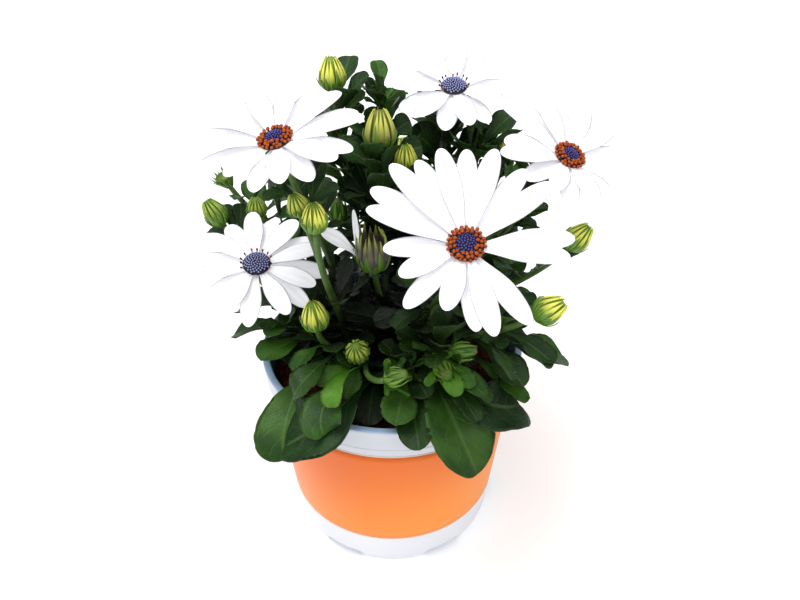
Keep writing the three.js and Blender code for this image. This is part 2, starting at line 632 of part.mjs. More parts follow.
/** The peat fills the pot, and each stem stands in a plain hole in it. */
function peatSolid() {
  const floor = POT.footHeight + POT.wall + SEAT;
  const profile = [
    [0, floor],
    [potInnerRadius(floor) * SOIL.fit, floor],
    [potInnerRadius(SOIL.edge) * SOIL.fit, SOIL.edge],
    [SOIL.shoulderRadius, SOIL.crown - SOIL.shoulderDrop],
    [0, SOIL.crown],
  ];
  const depth = STEM.buried + SEAT;
  const holes = Object.values(SHOOTS).map(({ base }) => {
    const radius = STEM.baseRadius + 2 * SEAT;
    const hole = new THREE.CylinderGeometry(radius, radius, 2 * depth, STEM.sides);
    return hole.rotateX(Math.PI / 2).translate(...base, STEM.start);
  });
  return cut(toSolid(turned(profile, SOIL.segments)), holes);
}

// ---------------------------------------------------------------- blooms and buds

/** The two layers of petals of a bloom, joined at their hubs. */
function raysSolid(blades) {
  const layers = PETAL.layers.map((height, layer) =>
    layerGeometry(blades.filter((_, k) => k % 2 === layer), height),
  );
  const [low, high] = PETAL.layers;
  const hub = new THREE.CylinderGeometry(DISC.footRadius, DISC.footRadius, high - low, 6);
  hub.rotateX(Math.PI / 2).translate(0, 0, (low + high) / 2);
  return fuse([...layers, hub]);
}

/** The domed disc in rings of florets, inside a crown of open anthers. */
function discGeometry() {
  const bottom = PETAL.layers[1] + PETAL.thickness / 2 + SEAT;
  const ringAt = (radius, z, relief) =>
    Array.from({ length: 2 * DISC.anthers }, (_, j) => {
      const stands = j % 2;
      const angle = (Math.PI * j) / DISC.anthers;
      return polar(radius + 0.4 * relief * stands, angle, bottom + z + relief * stands);
    });
  const [foot, edge] = [DISC.footRadius, DISC.radius];
  return loft([
    ringAt(foot, 0, 0),
    ringAt(edge, 1.6, 2),
    ringAt(edge * 0.8, 1.9, 0),
    ringAt(edge * 0.5, 2.8, 0.5),
    [polar(0, 0, bottom + 3.2)],
  ]);
}

const BUD_PROFILE = [[0, 0.24], [0.14, 0.74], [0.4, 1], [0.86, 0.52]];
const SPENT_PROFILE = [[0, 0.26], [0.25, 0.5], [0.6, 0.82], [1, 1]];

/** A closed, ribbed head with a pointed tuft, or the open cup of a spent one, in its own frame. */
function budGeometry({ length, radius, spent = false }) {
  const profile = spent ? SPENT_PROFILE : BUD_PROFILE;
  const rings = profile.map(([s, share]) =>
    Array.from({ length: BUD.segments }, (_, j) => {
      const angle = (2 * Math.PI * j) / BUD.segments;
      const rib = s === 0 ? 1 : 1 + BUD.ribDepth * (j % 2 ? -1 : 1);
      const spread = share * radius * rib;
      return new THREE.Vector3(Math.cos(angle) * spread, Math.sin(angle) * spread, s * length);
    }),
  );
  return loft(spent ? rings : [...rings, [new THREE.Vector3(0, 0, length)]]);
}

// ---------------------------------------------------------------- assembly

const plant = new THREE.Group();
plant.add(makeMesh("pot", toGeometry(potSolid()), COLOURS.pot, 0.35));
plant.add(makeMesh("pot_band", bandGeometry(), COLOURS.band, 0.4));
plant.add(makeMesh("peat", toGeometry(peatSolid()), COLOURS.soil, 0.95));

Object.entries(BLOOMS).forEach(([name, bloom], k) => {
  const pose = poseOf(bloom);
  const blades = petalBlades(name, SEEDS.bloom + SEEDS.bloomStep * k);
  blades.forEach((blade) => {
    bladeSamples(blade, PETAL_OUTLINE).forEach(({ point }) => {
      take(point.applyMatrix4(pose), LEAF.reach, name);
    });
    LIGHT.petal.forEach((s) => keepLit(blade.line.getPoint(s).applyMatrix4(pose), name));
  });
  take(new THREE.Vector3(0, 0, -CUP.length / 2).applyMatrix4(pose), CUP.radius + 1, name);
  const head = new THREE.Group();
  head.applyMatrix4(pose);
  head.add(makeMesh(`${name}_rays`, toGeometry(raysSolid(blades)), COLOURS.rays, 0.6));
  head.add(makeMesh(`${name}_disc`, discGeometry(), COLOURS.disc, 0.7));
  plant.add(head);
});

Object.entries(BUDS).forEach(([name, bud]) => {
  const pose = poseOf(bud);
  [0.2, 0.45, 0.75].forEach((share) => {
    take(new THREE.Vector3(0, 0, share * bud.length).applyMatrix4(pose), bud.radius, name);
  });
  keepLit(new THREE.Vector3(0, 0, 0.45 * bud.length).applyMatrix4(pose), name);
  const mesh = makeMesh(name, budGeometry(bud), COLOURS.bud, 0.6);
  mesh.applyMatrix4(pose);
  plant.add(mesh);
});

const firstPetals = FIRST_PETALS.map(({ base, control, tip, halfWidth, roll }) =>
  makeBlade(vector(base), vector(control), vector(tip), halfWidth, roll),
);
firstPetals.forEach((blade) => {
  bladeSamples(blade, PETAL_OUTLINE).forEach(({ point }) => take(point, LEAF.reach, "bud_09"));
  LIGHT.petal.forEach((s) => keepLit(blade.line.getPoint(s), "bud_09"));
});
const firstRays = fuse(firstPetals.map((blade) => bladeGeometry(blade, PETAL_OUTLINE, PETAL)));
plant.add(makeMesh("bud_09_rays", toGeometry(firstRays), COLOURS.rays, 0.6));

const shoots = Object.keys(SHOOTS).map((name) => ({
  name,
  main: mainLine(SHOOTS[name]),
  sides: SIDE_BUDS.filter(({ shoot }) => shoot === name).map(sideLine),
}));
shoots.forEach(({ name, main, sides }) => {
  [main, ...sides].forEach((line) => takeLine(line, STEM.baseRadius, name));
});
shoots.forEach((shoot) => {
  const skirt = SKIRT.filter((leaf) => leaf.shoot === shoot.name);
  shoot.blades = skirt.map((leaf) => skirtBlade(leaf, shoot.main));
  shoot.blades.forEach((blade) => takeBlade(bladeSamples(blade, LEAF_OUTLINE), shoot.name));
});
shoots.forEach(({ name, main, sides, blades }, k) => {
  blades.push(...growLeaves(name, main, makeDraw(SEEDS.shoot + SEEDS.shootStep * k)));
  const { head } = SHOOTS[name];
  const parts = [
    stalkGeometry(main, STEM.baseRadius, STEM.tipRadius, STEM.steps, STEM.buried),
    ...sides.map((line) => stalkGeometry(line, STEM.tipRadius, STEM.tipRadius, 3)),
    ...blades.map((blade) => bladeGeometry(blade, LEAF_OUTLINE, LEAF)),
  ];
  if (BLOOMS[head]) parts.push(cupGeometry().applyMatrix4(poseOf(BLOOMS[head])));
  plant.add(makeMesh(name, toGeometry(fuse(parts)), COLOURS.shoot, 0.55));
});

export default plant;
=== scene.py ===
# A potted osteospermum: white daisies, ribbed buds and broad dark leaves in a white nursery pot.
# The layout is in millimetres, as in the part; meshes are turned into metres where they are made.
# Each leaf, petal and bud grows where its node stands, by the same seeded rule, and is only finer.
import math
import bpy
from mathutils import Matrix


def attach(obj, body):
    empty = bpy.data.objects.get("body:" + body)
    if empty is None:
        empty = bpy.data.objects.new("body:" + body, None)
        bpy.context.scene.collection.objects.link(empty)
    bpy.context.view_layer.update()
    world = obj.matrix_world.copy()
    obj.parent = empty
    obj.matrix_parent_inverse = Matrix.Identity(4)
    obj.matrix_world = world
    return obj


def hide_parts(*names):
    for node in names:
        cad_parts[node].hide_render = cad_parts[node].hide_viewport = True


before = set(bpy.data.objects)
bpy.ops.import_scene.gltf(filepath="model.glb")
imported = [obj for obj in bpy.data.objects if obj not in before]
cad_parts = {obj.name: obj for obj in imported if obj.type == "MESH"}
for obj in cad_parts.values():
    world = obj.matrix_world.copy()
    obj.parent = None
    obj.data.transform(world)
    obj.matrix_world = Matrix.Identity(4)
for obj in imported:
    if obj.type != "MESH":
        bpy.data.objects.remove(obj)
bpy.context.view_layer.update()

from types import SimpleNamespace as Sizes

import bpy
import numpy as np
from mathutils import Vector, noise

MM = 0.001
UP = np.array([0.0, 0.0, 1.0])

# ---------------------------------------------------------------- driving dimensions

POT = Sizes(
    height=106, rim_radius=65, rim_width=3.6, rim_lip=1.8, collar_radius=64, collar_bottom=92,
    body_top=62.4, foot_radius=53, foot_height=4.5, foot_width=6, foot_flare=0.8, feet=6,
    notch_width=20, wall=2, pad_radius=14, slope=1, segments=300,
)
DRAIN = Sizes(radius=4, ring_radius=34, low=2, high=9, sides=32)
BAND = Sizes(bottom=20.3, top=87.9, thickness=0.5, overlap=7, segments=240)
SOIL = Sizes(edge=93, crown=95.5, fit=0.979, rings=60, segments=200)
STEM = Sizes(base_radius=2.1, tip_radius=1.3, steps=5, buried=12, start=97)
LEAF = Sizes(slimness=0.25, cup=0.22, reach=1.2, root=0.35, teeth=0.035, broad=7.4, small=4)
PETAL = Sizes(root_radius=3.4, layers=(0.5, 1.5))
DISC_BOTTOM = 2.2
CUP = Sizes(length=8, radius=6)
SEAT = 0.3
CLEARANCE = 2.2
LEAF_TURN = 137.5
FLORET_TURN = 137.508
LIGHT = Sizes(source=(0, -297, 342), first=8, last=56, step=6, radius=3.5, petal=(0.5, 1))
SAMPLE = Sizes(rows=13, sides=np.array([-0.9, -0.6, -0.3, 0, 0.3, 0.6, 0.9]), margin=2.5)
LEAF_OUTLINE = [[0, 0.14], [0.36, 0.3], [0.66, 0.95], [0.88, 0.88], [1, 0]]
PETAL_OUTLINE = [[0, 0.28], [0.44, 0.9], [0.78, 0.88], [1, 0]]
BUD_PROFILE = [[0, 0.24], [0.14, 0.74], [0.34, 1], [0.58, 0.9], [0.84, 0.54], [1, 0.22]]
OPENING_PROFILE = [[0, 0.24], [0.14, 0.74], [0.34, 0.96], [0.58, 0.9], [0.84, 0.62], [1, 0.36]]
SPENT_PROFILE = [[0, 0.26], [0.25, 0.5], [0.6, 0.82], [1, 1]]

# ---------------------------------------------------------------- the plant's layout

# name: place, way it faces, its petals' half width and rise, share of its florets that are open
BLOOMS = {
    "bloom_1": ([27, -65, 200], [-0.07, -0.57, 0.82], 4.3, 9, 0.5),
    "bloom_2": ([-64, 4, 148], [0.06, -0.38, 0.92], 4.8, 1, 0.1),
    "bloom_3": ([-44, -23, 222], [-0.2, -0.24, 0.95], 4.9, 10, 0.5),
    "bloom_4": ([32, 72, 209], [-0.03, -0.33, 0.94], 5.4, 7, 0.1),
    "bloom_5": ([76, 2, 203], [0.28, -0.38, 0.88], 5, 11, 0.45),
}

# Azimuth in degrees and length of each petal
RAYS = {
    "bloom_1": [
        [1, 36], [32, 36], [51, 35], [70, 36], [86, 37], [101, 36], [114, 37], [129, 39], [143, 40],
        [157, 36], [178, 27], [204, 24], [224, 29], [251, 24], [273, 29], [282, 34], [304, 34], [346, 34],
    ],
    "bloom_2": [
        [0, 31], [21, 31], [38, 30], [58, 29], [80, 28], [100, 29], [124, 28], [148, 28],
        [170, 28], [196, 28], [221, 28], [245, 25], [268, 29], [302, 29], [323, 29], [341, 27],
    ],
    "bloom_3": [
        [16, 31], [36, 30], [60, 30], [80, 29], [96, 30], [110, 30], [126, 36], [144, 37], [162, 38],
        [180, 33], [196, 33], [230, 24], [257, 26], [280, 30], [299, 28], [317, 33], [334, 31], [355, 34],
    ],
    "bloom_4": [
        [2, 28], [28, 28], [59, 27], [83, 27], [111, 27], [133, 28], [157, 27], [181, 28],
        [207, 28], [232, 27], [258, 27], [281, 29], [301, 27], [325, 28],
    ],
    "bloom_5": [
        [18, 27], [45, 27], [60, 28], [75, 28], [96, 28], [116, 28], [132, 34], [153, 36],
        [180, 27], [202, 35], [222, 26], [246, 24], [266, 23], [289, 23], [317, 25], [346, 26],
    ],
}

# name: place of its base, way it points, length, radius, ripeness
# (0 a leafy bud, 1 about to open, -1 a spent head that has shed its petals)
BUDS = {
    "bud_01": ([-28, 66, 211], [-0.05, 0, 1], 18, 6.6, 0.5),
    "bud_02": ([-5, 37, 192], [0, 0.1, 1], 21, 7.4, 0.8),
    "bud_03": ([8, 53, 172], [-0.05, 0, 1], 17, 6, 0.5),
    "bud_04": ([-37, -23, 191], [-0.25, -0.2, 1], 11, 4.6, 0.3),
    "bud_05": ([-31, -31, 187], [0, -0.05, 1], 14, 5.2, 0.6),
    "bud_06": ([-27, 40, 152], [0, 0, 1], 14, 4.8, 0),
    "bud_07": ([-68, 39, 156], [0.05, -0.2, 1], 12, 5, 0.15),
    "bud_08": ([-85, 36, 153], [-0.45, 0, 0.9], 16, 5.6, 0.15),
    "bud_09": ([-8, -3, 150], [-0.05, -0.1, 1], 25, 8, 1),
    "bud_10": ([-34, -26, 133], [-0.1, 0, 1], 16, 6, 0.4),
    "bud_11": ([-15, -37, 127], [-0.1, -0.5, 0.85], 12, 5.2, 0.2),
    "bud_12": ([79, -9, 165], [0.6, 0, 0.8], 15, 5.6, 0.4),
    "bud_13": ([62, -34, 145], [0.8, 0.1, 0.45], 16, 6.2, 0.6),
    "bud_14": ([25, -43, 133], [1, -0.05, 0.15], 13, 4.4, 0),
    "bud_15": ([20, -49, 131], [0.3, -0.8, 0.1], 12, 4.2, 0),
    "bud_16": ([-3, -56, 129], [0.75, -0.25, 0.5], 12, 4.2, 0),
    "bud_17": ([58, 58, 176], [0.3, 0.3, 0.9], 17, 6, 0.5),
    "bud_18": ([-82, 49, 168], [-0.35, -0.2, 0.9], 10, 5.8, -1),
    "bud_19": ([6, 90, 160], [0, 0.5, 0.85], 16, 5.8, 0.5),
}

# The petals that have opened out of a bud: base, control, tip, half width, roll
FIRST_PETALS = [
    ([-16.1, -4.6, 160], [-24, -5, 170], [-31.5, -6, 172.5], 4.6, -25),
    ([-16.1, -4.6, 160], [-15, -7, 172], [-16.5, -6, 184], 2.2, 150),
]

# name: place in the peat, head or tip, number of leaves, zone that they grow in, their lengths
SHOOTS = {
    "shoot_01": ([6, -13], "bloom_1", 5, (0.15, 0.5), (37, 25)),
    "shoot_02": ([-17, 4], "bloom_2", 4, (0.2, 0.5), (34, 24)),
    "shoot_03": ([-25, 22], "bloom_3", 5, (0.25, 0.82), (32, 24)),
    "shoot_04": ([9, 14], "bloom_4", 8, (0.25, 0.84), (35, 27)),
    "shoot_05": ([17, 2], "bloom_5", 7, (0.2, 0.76), (37, 25)),
    "shoot_06": ([-2, 9], "bud_02", 7, (0.3, 0.76), (35, 24)),
    "shoot_07": ([1, -2], "bud_09", 3, (0.2, 0.45), (34, 25)),
    "shoot_08": ([-11, 18], "bud_01", 9, (0.3, 0.86), (35, 24)),
    "shoot_09": ([2, 20], "bud_03", 6, (0.3, 0.8), (35, 24)),
    "shoot_10": ([-21, -5], "bud_05", 4, (0.15, 0.45), (32, 24)),
    "shoot_11": ([-23, 14], "bud_08", 6, (0.25, 0.85), (35, 24)),
    "shoot_12": ([-18, -12], "bud_10", 1, (0.6, 0.6), (24, 24)),
    "shoot_13": ([-7, -21], "bud_11", 0, (0.4, 0.6), (25, 18)),
    "shoot_14": ([25, 7], "bud_12", 7, (0.25, 0.82), (37, 24)),
    "shoot_15": ([24, -8], "bud_13", 3, (0.4, 0.75), (34, 24)),
    "shoot_16": ([5, -24], [8, -44, 124], 3, (0.6, 1), (22, 15)),
    "shoot_17": ([16, -19], "bud_14", 3, (0.5, 0.9), (24, 17)),
    "shoot_18": ([-27, -3], [-50, -8, 124], 4, (0.4, 1), (29, 17)),
    "shoot_19": ([20, 16], "bud_17", 6, (0.2, 0.86), (39, 24)),
    "shoot_20": ([-18, 25], "bud_18", 6, (0.2, 0.86), (39, 24)),
    "shoot_21": ([8, 29], "bud_19", 5, (0.2, 0.86), (39, 24)),
    "shoot_22": ([-4, 30], [-3, 66, 209], 7, (0.3, 1), (35, 18)),
    "shoot_23": ([31, 15], [56, 24, 130], 6, (0.3, 1), (39, 20)),
    "shoot_24": ([-31, 6], [-52, 22, 126], 5, (0.3, 1), (39, 20)),
    "shoot_25": ([17, 27], [46, 56, 188], 7, (0.3, 1), (39, 20)),
}

# shoot, share of its length where the stalk leaves it, bud
SIDE_BUDS = [
    ("shoot_10", 0.6, "bud_04"),
    ("shoot_08", 0.3, "bud_06"),
    ("shoot_11", 0.6, "bud_07"),
    ("shoot_17", 0.72, "bud_15"),
    ("shoot_13", 0.5, "bud_16"),
]

# The broad leaves that spill over the rim: shoot, share where it leaves it, tip, half width, by how
# much it arches up or the point half-way that it passes through, roll, youth (0 dark, 1 bright)
SKIRT = [
    ("shoot_17", 0.3, [36, -79, 95], 15.8, [22, -54, 116], -5, 0.38),
    ("shoot_16", 0.4, [11, -77, 108], 8.5, 10, 10, 0.3),
    ("shoot_17", 0.5, [36, -68, 115], 7, 9, -15, 0.2),
    ("shoot_17", 0.62, [42, -60, 119], 7.5, 7, -15, 0.3),
    ("shoot_17", 0.35, [57, -51, 109], 14.5, [38, -52, 113], 18, 0),
    ("shoot_15", 0.5, [58, -50, 119], 7.5, 7, 0, 0.15),
    ("shoot_15", 0.68, [79, -28, 119], 12, [62, -32, 126], 5, 0.3),
    ("shoot_16", 0.8, [1, -71, 117], 8, 3, -8, 0.5),
    ("shoot_13", 0.6, [-25, -72, 128], 4.8, [-22, -60, 133], 15, 0.75),
    ("shoot_13", 0.35, [-47, -68, 102], 15, [-24, -62, 117], -12, 0),
    ("shoot_13", 0.5, [-29, -75, 115], 9, [-27, -61, 124], 0, 0.35),
    ("shoot_18", 0.3, [-48, -68, 93], 12.5, [-45, -48, 110], 2, 0.4),
    ("shoot_12", 0.5, [-43, -58, 122], 7.2, [-34, -48, 128], 0, 0.2),
    ("shoot_18", 0.5, [-60, -34, 122], 8, 8, 0, 0.5),
    ("shoot_18", 0.7, [-79, -1, 111], 9, 9, 5, 0.4),
    ("shoot_24", 0.4, [-82, 26, 106], 11, 19, 0, 0.3),
    ("shoot_11", 0.25, [-62, 58, 102], 11, 20, -5, 0.2),
    ("shoot_20", 0.25, [-30, 81, 103], 11, 20, 5, 0.3),
    ("shoot_21", 0.25, [6, 88, 101], 11, 20, 0, 0.1),
    ("shoot_25", 0.2, [39, 77, 104], 11, 20, -5, 0.3),
    ("shoot_19", 0.2, [66, 53, 101], 11, 20, 5, 0.2),
    ("shoot_23", 0.4, [83, 19, 105], 11, 19, 0, 0.3),
]

# Smaller leaves in front, which lie over the skirt and close the bush: as SKIRT
COVER = [
    ("shoot_22", 0.8, [10, 60, 198], 6, 3, 60, 0.1),
    ("shoot_22", 0.7, [16, 56, 186], 7, 4, 60, 0.05),
    ("shoot_04", 0.7, [14, 60, 190], 6.5, 4, -60, 0.05),
    ("shoot_04", 0.6, [16, 46, 178], 6.5, 4, -60, 0.1),
    ("shoot_04", 0.75, [46, 60, 190], 6.5, 3, 60, 0.1),
    ("shoot_25", 0.8, [60, 58, 182], 6.5, 4, 60, 0.1),
    ("shoot_25", 0.65, [34, 44, 176], 6, 4, -50, 0.1),
    ("shoot_16", 0.7, [15, -60, 122], 6, 5, 25, 0.1),
    ("shoot_16", 0.9, [3, -36, 133], 6, 2, -20, 0.1),
    ("shoot_17", 0.7, [39, -65, 127], 4.5, 4, 10, 0.6),
    ("shoot_15", 0.6, [51, -57, 129], 5, 6, -25, 0.35),
    ("shoot_15", 0.75, [73, -39, 122], 7, 5, 10, 0.25),
    ("shoot_15", 0.3, [60, -55, 114], 4, 5, 20, 0.7),
    ("shoot_17", 0.85, [27, -66, 128], 4.6, 4, 0, 0.9),
    ("shoot_17", 0.8, [34, -62, 129], 4, 5, 10, 0.8),
    ("shoot_12", 0.75, [-44, -42, 122], 6, 6, 15, 0.8),
    ("shoot_13", 0.72, [-32, -54, 124], 5.5, 4, -10, 0.85),
    ("shoot_13", 0.8, [-20, -61, 123], 5.5, 2, 10, 0.3),
    ("shoot_18", 0.75, [-58, -24, 128], 5.5, 5, 10, 0.6),
    ("shoot_13", 0.2, [-11, -56, 102], 8, 8, 0, 0),
    ("shoot_11", 0.86, [-86, 44, 160], 4.5, 2, 0, 0.1),
    ("shoot_11", 0.86, [-77, 46, 160], 4.5, 2, 0, 0.1),
    ("shoot_20", 0.6, [-62, 44, 176], 6, 3, 0, 0.15),
    ("shoot_08", 0.7, [-30, 42, 194], 6, 6, 10, 0),
    ("shoot_06", 0.6, [-20, 46, 188], 6, 4, 0, 0),
    ("shoot_15", 0.6, [61, -33, 130], 6.5, 6, 0, 0.15),
]

# ---------------------------------------------------------------- small helpers


def unit(vector):
    vector = np.asarray(vector, float)
    return vector / np.linalg.norm(vector, axis=-1, keepdims=True)


def lerp(a, b, share):
    return a + (b - a) * share


def smooth_step(value):
    value = np.clip(value, 0, 1)
    return value * value * (3 - 2 * value)


def turn_about(vector, axis, angle):
    """`vector` turned by `angle` about each of the axes."""
    along = (axis * vector).sum(-1)[..., None] * axis
    level = vector * math.cos(angle) + np.cross(axis, vector) * math.sin(angle)
    return level + along * (1 - math.cos(angle))


def spline(points, s):
    """A smooth line through [s, value] points."""
    x, y = np.array(points, float).T
    slope = np.gradient(y, x)
    k = np.clip(np.searchsorted(x, s, side="right") - 1, 0, len(x) - 2)
    step = x[k + 1] - x[k]
    t = (s - x[k]) / step
    start = (2 * t**3 - 3 * t**2 + 1) * y[k] + (t**3 - 2 * t**2 + t) * step * slope[k]
    return start + (3 * t**2 - 2 * t**3) * y[k + 1] + (t**3 - t**2) * step * slope[k + 1]


def bezier(points, s):
    """Points of a Bezier curve at the shares `s`, and its directions there."""
    s = np.asarray(s, float)[..., None]
    rows = [np.asarray(point, float) for point in points]
    while len(rows) > 2:
        rows = [lerp(a, b, s) for a, b in zip(rows, rows[1:])]
    return lerp(rows[0], rows[1], s), unit(rows[1] - rows[0])


class Draw:
    """Park and Miller's generator: the same draws on every run."""

    def __init__(self, seed):
        self.state = seed

    def __call__(self, low=0.0, high=1.0):
        self.state = self.state * 16807 % 2147483647
        return low + (high - low) * self.state / 2147483647


class Pose:
    """A local frame whose Z points along `facing`, placed at `at`."""

    def __init__(self, at, facing):
        x, y, z = unit(facing)
        cross = np.array([[0, 0, x], [0, 0, y], [-x, -y, 0]])
        self.turn = np.eye(3) + cross + cross @ cross / (1 + z)
        self.at = np.array(at, float)

    def __call__(self, points):
        return points @ self.turn.T + self.at


# ---------------------------------------------------------------- blades: leaves and petals


class Blade:
    """A thin blade that follows base, control and tip and is rolled about that line."""

    def __init__(self, base, control, tip, half_width, roll=0, across=None, youth=0.3, pose=None):
        self.line = np.array([base, control, tip], float)
        level = [tip[1] - base[1], base[0] - tip[0], 0]
        self.across = unit(level) if across is None else across
        self.half_width = half_width
        self.roll = roll
        self.youth = youth
        self.pose = pose

    def frame(self, s):
        centre, tangent = bezier(self.line, s)
        level = self.across
        if level is None:
            level = unit(tangent[:, [1, 0, 2]] * [1, -1, 0])
        across = turn_about(level, tangent, math.radians(self.roll))
        return centre, across, unit(np.cross(across, tangent))

    def samples(self, outline):
        """Points over the blade, and whether each lies on its narrow stalk."""
        s = np.arange(1, SAMPLE.rows + 1) / SAMPLE.rows
        centre, across, _ = self.frame(s)
        width = np.interp(s, *np.array(outline).T) * self.half_width
        reach = width[:, None, None] * SAMPLE.sides[None, :, None]
        points = (centre[:, None] + reach * across[:, None]).reshape(-1, 3)
        return points, np.repeat(s < LEAF.root, len(SAMPLE.sides))


def arched(base, azimuth, rise, droop, length, half_width, roll=0, youth=0.3, pose=None):
    """A blade of `length` that leaves `base` towards `azimuth` at `rise` and ends at `droop`."""

    def step(up):
        level = math.cos(up)
        return np.array([math.cos(azimuth) * level, math.sin(azimuth) * level, math.sin(up)]) * length / 2

    control = base + step(rise)
    across = np.array([math.sin(azimuth), -math.cos(azimuth), 0])
    return Blade(base, control, control + step(droop), half_width, roll, across, youth, pose)


# ---------------------------------------------------------------- where everything grows


def stem_line(start, leaving, end, arrival):
    reach = np.linalg.norm(end - start) / 3
    return np.array([start, start + leaving * reach, end - arrival * reach, end])


def stalk_end(name):
    at, facing = (BLOOMS.get(name) or BUDS[name])[:2]
    drop = CUP.length - STEM.tip_radius if name in BLOOMS else SEAT
    return np.array(at) - unit(facing) * drop, unit(facing)


def main_line(base, head):
    start = np.array([*base, STEM.start], float)
    if isinstance(head, str):
        return stem_line(start, UP, *stalk_end(head))
    return stem_line(start, UP, np.array(head, float), unit(np.array(head) - start))


def stem_point(line, s):
    """The point at `s` of the straight pieces that the part's stem is made of."""
    step = min(int(s * STEM.steps), STEM.steps - 1)
    start, end = bezier(line, np.array([step, step + 1]) / STEM.steps)[0]
    return lerp(start, end, s * STEM.steps - step)


def side_line(line, share, bud):
    tangent = bezier(line, share)[1]
    return stem_line(stem_point(line, share), tangent, *stalk_end(bud))


def petal_blades(name, seed):
    at, facing, half_width, rise, _ = BLOOMS[name]
    draw = Draw(seed)
    blades = []
    for k, (degrees, length) in enumerate(RAYS[name]):
        azimuth = math.radians(degrees)
        layer = k % 2
        up = math.radians(rise + 7 * layer + 3 * draw())
        down = math.radians(rise - 14 + 7 * layer - 6 * draw())
        base = PETAL.root_radius * np.array([math.cos(azimuth), math.sin(azimuth), 0])
        base[2] = PETAL.layers[layer]
        blades.append(arched(base, azimuth, up, down, length, half_width, pose=Pose(at, facing)))
    return blades


class Taken:
    """Points of what has grown already, which new leaves keep clear of."""

    def __init__(self):
        self.points = np.zeros((0, 3))
        self.reach = np.zeros(0)
        self.owner = np.zeros(0, int)
        self.root = np.zeros(0, bool)

    def take(self, points, reach, owner, root=False):
        points = np.atleast_2d(points)
        self.points = np.vstack([self.points, points])
        self.reach = np.append(self.reach, np.full(len(points), float(reach)))
        self.owner = np.append(self.owner, np.full(len(points), OWNERS.index(owner)))
        self.root = np.append(self.root, np.broadcast_to(root, len(points)))

    def keep_lit(self, point, owner):
        """Takes the way from a point to the light, so that leaves don't cover the flower or bud."""
        towards = unit(LIGHT.source - point)
        shaft = np.arange(LIGHT.first, LIGHT.last, LIGHT.step)
        self.take(point + shaft[:, None] * towards, LIGHT.radius, owner)

    def take_line(self, line, owner):
        length = np.linalg.norm(np.diff(bezier(line, np.linspace(0, 1, 201))[0], axis=0), axis=1).sum()
        count = math.ceil(length / 4)
        self.take(bezier(line, np.arange(count + 1) / count)[0], STEM.base_radius, owner, True)

    def leaves_free(self, points, root, owner, clearance):
        """True where a blade touches only its own shoot's stem and leaf stalks."""
        if np.any(in_pot(points) & ~root):
            return False
        # The midline alone settles most cases
        coarse = slice(len(SAMPLE.sides) // 2, None, len(SAMPLE.sides))
        if len(points) > 30 and not self.leaves_free(points[coarse], root[coarse], owner, clearance):
            return False
        far = clearance + self.reach.max()
        near = np.all((self.points > points.min(0) - far) & (self.points < points.max(0) + far), axis=1)
        own = self.owner[near] == OWNERS.index(owner)
        spared = own[None] & (root[:, None] | self.root[near][None])
        gap = np.linalg.norm(points[:, None] - self.points[near][None], axis=2)
        return bool(np.all(spared | (gap > clearance + self.reach[near][None])))


OWNERS = [*BLOOMS, *BUDS, *SHOOTS]


def in_pot(points):
    """True where a point lies in the pot's wall or the peat, or too near to them."""
    radius = np.hypot(points[:, 0], points[:, 1])
    inside = radius < POT.rim_radius - POT.rim_width - SAMPLE.margin
    outside = radius > POT.rim_radius + SAMPLE.margin
    over_peat = inside & (points[:, 2] > SOIL.crown + SAMPLE.margin)
    return ~(over_peat | outside | (points[:, 2] > POT.height + SAMPLE.margin))


TRIES = [
    (shrink, lift, turn)
    for shrink in (1, 0.8, 0.65)
    for lift in (0, 15, -15, 30)
    for turn in (0, 22, -22, 44, -44, 70, -70)
]


def grow_leaf(taken, name, base, azimuth, rise, droop, length, roll, youth, clearance=CLEARANCE):
    """A leaf that finds no room is turned, raised or shortened, and left out at last."""
    for shrink, lift, turn in TRIES:
        way, up, down = np.radians([azimuth + turn, rise + lift, droop + lift])
        size = length * shrink
        blade = arched(base, way, up, down, size, LEAF.slimness * size, roll, youth)
        points, root = blade.samples(LEAF_OUTLINE)
        if taken.leaves_free(points, root, name, clearance):
            taken.take(points, LEAF.reach, name, root)
            return [blade]
    return []


def grow_leaves(taken, name, line, draw):
    """Leaves in a spiral up the shoot, the lower ones longer and lower."""
    _, _, leaves, zone, lengths = SHOOTS[name]
    blades = []
    first_turn = 360 * draw()
    for k in range(leaves):
        share = k / (leaves - 1) if leaves > 1 else 0
        base = stem_point(line, lerp(*zone, share))
        length = lerp(*lengths, share) * (0.9 + 0.2 * draw())
        azimuth = first_turn + LEAF_TURN * k
        rise = 30 + 25 * share + 12 * draw()
        droop = -18 + 45 * share + 20 * draw()
        roll = 30 * (draw() - 0.5)
        youth = 0.15 + 0.35 * share
        blades += grow_leaf(taken, name, base, azimuth, rise, droop, length, roll, youth)
    return blades


FILL = Sizes(leaves=12, clearance=0.4, lengths=(15, 27), youth=0.12)
TALL = {
    "shoot_03": 14, "shoot_04": 30, "shoot_05": 14, "shoot_06": 20, "shoot_08": 16, "shoot_09": 24,
    "shoot_17": 14, "shoot_19": 18, "shoot_21": 12, "shoot_22": 30, "shoot_25": 30,
}
TALL_FILL = Sizes(low=0.45, high=0.96)
TUFT = Sizes(leaves=6, lengths=(9, 15), youth=0.95)


def grow_fillers(taken, name, line, draw):
    """Smaller leaves between the others, lower on the shoot, which close the bush."""
    zone = SHOOTS[name][3]
    blades = []
    for k in range(FILL.leaves):
        share = (k + draw()) / FILL.leaves
        base = stem_point(line, lerp(0.12, min(zone[1] + 0.05, 0.95), share))
        length = draw(*FILL.lengths)
        rise = draw(20, 60)
        droop = rise - draw(20, 60)
        youth = draw(0, 2 * FILL.youth) + 0.15 * share
        angle = draw(0, 360)
        blades += grow_leaf(
            taken, name, base, angle, rise, droop, length, draw(-20, 20), youth, FILL.clearance
        )
    return blades


